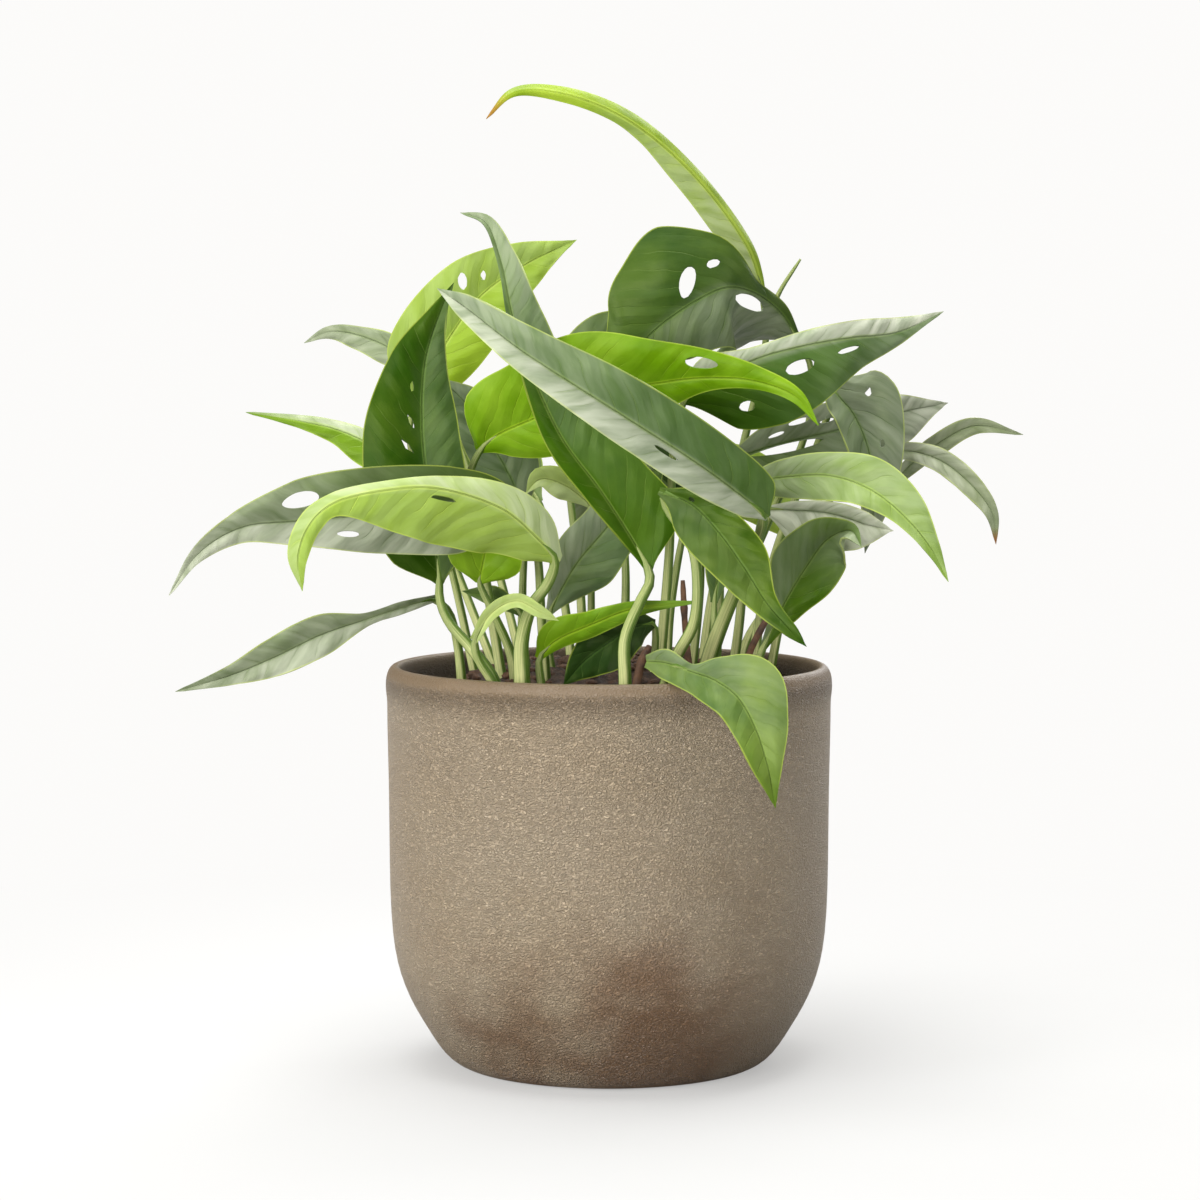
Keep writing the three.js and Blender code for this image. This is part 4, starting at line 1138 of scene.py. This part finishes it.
@once
def leaf_material(tone, under, red):
    """Living blade: paler veins and margin, darker patches and streaks, silvery cast with painted sheen,
    painted glow of light in patches, and painted shade in the crease, the vein valleys and towards the
    base.
    """
    blade_colour, vein_colour, under_colour = (linear(colour) for colour in TONES[tone])
    name = "leaf_" + tone + ("_under" if under else "") + ("_red_tip" if red else "")
    material, tree, shader, place = new_material(name)
    # Tint holds the silvery cast with painted sheen, the painted glow of light and the painted shade.
    tint = node(tree, "ShaderNodeAttribute", {"attribute_name": "Tint"}).outputs["Color"]
    silver_and_sheen, lit, dark = map(Mask, node(tree, "ShaderNodeSeparateColor", Color=tint).outputs)
    veins = place_group(tree, vein_group(), Span=uv_map(tree, "UVMap"), Size=uv_map(tree, "Size"))
    patches = mottle(tree, place, 30.0)
    base = under_colour if under else blade_colour
    darker_tone_and_shade = tuple(0.55 * part for part in base[:3]) + (1.0,)
    lighter = tuple(0.6 * part + 0.4 * warm for part, warm in zip(base[:3], linear(YELLOW))) + (1.0,)
    hidden = veins["Streaks"] + 0.2 * veins["Valley"]
    layers = [
        (0.36 * (patches + veins["Streaks"]), darker_tone_and_shade),
        # Painted shade, darker towards the base of the blade.
        (0.3 * veins["Along"].ramp(0.35, 0.0), darker_tone_and_shade),
        # Painted shade in the quilted valleys along the side veins.
        (0.12 * veins["Valley"], darker_tone_and_shade),
        # Painted shade where the look gives a value below 0.
        (dark, darker_tone_and_shade),
        # Painted glow of light through the blade, in patches.
        (0.55 * lit * (1.0 - patches), lighter),
        # Silvery cast with painted sheen, weaker along the streaks and the vein valleys.
        (((1.2 - 0.8 * hidden) * silver_and_sheen).clamped(), linear(SILVER_CAST_AND_SHEEN)),
        (0.22 * veins["Veins"], vein_colour),
        (0.4 * veins["Midrib"], vein_colour),
        # Painted shade in the sunken midrib crease.
        (0.65 * veins["Crease"], darker_tone_and_shade),
        (0.3 * veins["Margin"], linear(YELLOW)),
    ]
    if red:
        layers.append((0.8 * veins["Along"].ramp(0.9, 0.985), linear(TIP_BROWN)))
    feed(
        shader,
        Base_Color=paint(base, layers),
        Roughness=0.12 * patches + (0.5 if under else 0.3),
        Normal=relief(veins["Height"], 0.7, 0.0006, under),
        Specular_IOR_Level=0.12, Specular_Tint=LEAF_GLOSS, Coat_Weight=0.04, Coat_Roughness=0.2,
    )
    return material


@once
def stalk_material():
    """Green stalk, cream towards its foot and along its channel, with fine streaks."""
    material, tree, shader, place = new_material("stalk_green_cream")
    span = uv_map(tree, "UVMap")
    along, around, _ = separate(tree, span)
    streaks = mottle(tree, vector_maths(tree, "MULTIPLY", i0=span, i1=(2.0, 36.0, 0.0)), 1.6)
    foot = 1.0 - along.ramp(0.05, 0.75)
    channel = abs(around - 0.68).ramp(0.17, 0.08)
    cream = (channel * (0.4 + 0.45 * foot)).clamped()
    layers = [
        (0.5 * mottle(tree, place, 60.0), linear(STALK_DEEP)),
        ((cream + 0.6 * (streaks - 0.55)).clamped(), linear(STALK_CREAM)),
    ]
    feed(
        shader,
        Base_Color=paint(linear(STALK_GREEN), layers),
        Normal=relief(streaks, 0.25, 0.0003),
        Roughness=0.5, Specular_IOR_Level=0.2,
    )
    return material


@once
def stem_material():
    """Dry brown stem with darker streaks."""
    material, tree, shader, place = new_material("stem_dry_brown")
    patches = mottle(tree, place, 220.0)
    feed(
        shader,
        Base_Color=paint(linear(STEM_BROWN), [(patches, linear(STEM_DARK))]),
        Normal=relief(patches, 0.6, 0.0004),
        Roughness=0.75,
    )
    return material


def wrinkle_mask(tree, place):
    """Short wavy wrinkles: worm-like noise over cells with bent edges."""
    worms = noise(tree, place, 760.0, 2.5, Distortion=1.4).ramp(0.38, 0.62)
    wavy = node(tree, "ShaderNodeTexNoise", Vector=place, Scale=300.0, Detail=1.0).outputs["Color"]
    bent = vector_maths(tree, "ADD", i0=place, i1=vector_maths(tree, "SCALE", i0=wavy, Scale=0.0016))
    cells = node(tree, "ShaderNodeTexVoronoi", {"feature": "DISTANCE_TO_EDGE"}, Vector=bent, Scale=820.0)
    return 0.6 * worms + 0.4 * Mask(cells.outputs["Distance"]).ramp(0.02, 0.3)


@once
def pot_material():
    """Matt stoneware: taupe with browner and paler patches, covered in short wavy wrinkles, with painted
    shade in the creases of the wrinkles, towards the foot and on the inner wall.
    """
    material, tree, shader, place = new_material("stoneware_wrinkled")
    x, y, height = separate(tree, place)
    squeezed = node(tree, "ShaderNodeMapping", Vector=place, Scale=(1.0, 1.0, 1.5)).outputs[0]
    wrinkles = wrinkle_mask(tree, squeezed)
    # Where the stain near the foot lies, the outer wall between foot and lip, and the inside.
    low = height.ramp(0.08, 0.015) * abs(x + 0.004).ramp(0.07, 0.02)
    wall = height.ramp(0.0, 0.003) * height.ramp(0.1315, 0.1275)
    inside = maths("SQRT", x * x + y * y).ramp(0.0712, 0.0692) * height.ramp(0.04, 0.06)
    layers = [
        (0.5 * mottle(tree, squeezed, 16.0), linear(POT_PALE)),
        ((mottle(tree, squeezed, 12.0) * (0.1 + 1.3 * low)).clamped(), linear(POT_BROWN)),
        # Painted shade in the creases of the wrinkles, stronger on the outer wall.
        ((1.0 - wrinkles) * (0.06 + 0.2 * wall), linear(POT_PAINTED_SHADE)),
        # Painted shade, darker towards the foot where the body curves in.
        (0.34 * height.ramp(0.046, 0.004), linear(POT_PAINTED_SHADE)),
        (0.85 * height.ramp(0.119, 0.133), linear(POT_LIP)),
        # Painted shade on the inner wall above the soil.
        (0.75 * inside, linear(POT_INSIDE_SHADE)),
    ]
    raised = wrinkles * (0.12 + 0.88 * wall) + 0.15 * noise(tree, place, 1500.0, 2.0)
    feed(
        shader,
        Base_Color=paint(linear(POT_TAUPE), layers),
        Normal=relief(raised, 1.0, 0.0013),
        Roughness=0.42 - 0.12 * wrinkles + 0.5 * inside,
    )
    return material


def earth_material(name, dark, light, scale):
    """Crumbly earth in two tones, with finer dark grain."""
    material, tree, shader, place = new_material(name)
    fine = mottle(tree, place, scale * 6)
    layers = [(mottle(tree, place, scale), linear(light)), (0.4 * fine, linear(SOIL_DARK))]
    feed(
        shader,
        Base_Color=paint(linear(dark), layers),
        Normal=relief(fine, 0.9, 0.0006),
        Roughness=0.9,
    )
    return material


@once
def soil_material():
    """Dark crumbly soil."""
    return earth_material("soil_crumbly", SOIL_DARK, SOIL_BROWN, 180.0)


@once
def bark_material():
    """Bark chips, a little redder than the soil."""
    return earth_material("soil_bark", SOIL_BROWN, BARK_BROWN, 240.0)


def floor_material():
    """Grey that a glow turns white near the pot, fading to black with a stronger glow further out."""
    material, tree, shader, place = new_material("floor_white")
    distance = node(tree, "ShaderNodeVectorMath", {"operation": "LENGTH"}, i0=place).outputs["Value"]
    far = Mask(distance).ramp(0.1, 0.45)
    seen = camera_ray(tree)
    near_glow = FLOOR_GLOW * seen
    far_glow = FLOOR_BOUNCE + (BACKGROUND - FLOOR_BOUNCE) * seen
    feed(
        shader,
        Base_Color=paint(FLOOR_COLOUR, [(mottle(tree, place, 0.6), FLOOR_PATCHES), (far, BLACK)]),
        Emission_Strength=near_glow * (1.0 - far) + far_glow * far,
        Emission_Color=BACKGROUND_COLOUR, Roughness=1.0, Specular_IOR_Level=0.0,
    )
    return material


# Camera, light and floor


def new_object(data):
    made = bpy.data.objects.new(data.name, data)
    bpy.context.scene.collection.objects.link(made)
    return made


def make_camera():
    camera = new_object(bpy.data.cameras.new("photo_camera"))
    camera.location = CAMERA_PLACE
    camera.rotation_euler = (math.radians(90 - CAMERA_PITCH), 0.0, 0.0)
    camera.data.lens = CAMERA_LENS
    camera.data.sensor_width = SENSOR_WIDTH
    bpy.context.scene.camera = camera


def area_light(name, place, target, size, power):
    light = new_object(bpy.data.lights.new(name, "AREA"))
    light.data.shape = "RECTANGLE"
    light.data.size, light.data.size_y = size
    light.data.energy = power
    light.location = place
    light.rotation_euler = (Vector(target) - Vector(place)).to_track_quat("-Z", "Y").to_euler()


def make_light():
    """Soft studio light: a dim surround that the camera sees as white, and the softboxes."""
    world = bpy.data.worlds.new("studio")
    bpy.context.scene.world = world
    bpy.context.scene.view_settings.view_transform = "Standard"
    world.use_nodes = True
    tree = world.node_tree
    strength = SURROUND + (BACKGROUND - SURROUND) * camera_ray(tree)
    feed(tree.nodes["Background"], Color=BACKGROUND_COLOUR, Strength=strength)
    for name, values in LIGHTS.items():
        area_light(name, *values)


def make_floor():
    """Pale floor that takes the soft shadow near the pot and runs into the white surround further out."""
    floor = add(bpy.ops.mesh.primitive_plane_add, "studio_floor", size=FLOOR_SIZE, location=(0, 0, 0))
    floor.data.materials.append(floor_material())


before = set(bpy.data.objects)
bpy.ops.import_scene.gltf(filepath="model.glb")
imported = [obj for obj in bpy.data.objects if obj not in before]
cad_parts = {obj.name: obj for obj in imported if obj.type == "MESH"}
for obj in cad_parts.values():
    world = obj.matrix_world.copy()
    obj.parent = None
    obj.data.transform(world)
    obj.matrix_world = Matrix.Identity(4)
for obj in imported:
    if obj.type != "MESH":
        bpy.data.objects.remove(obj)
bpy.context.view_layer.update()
make_camera()
make_light()
make_floor()
make_pot()
make_soil()
for leaf_name, leaf in LEAVES.items():
    make_leaf(leaf_name, leaf)
for stem_name, stem in STEMS.items():
    make_stem(stem_name, stem)
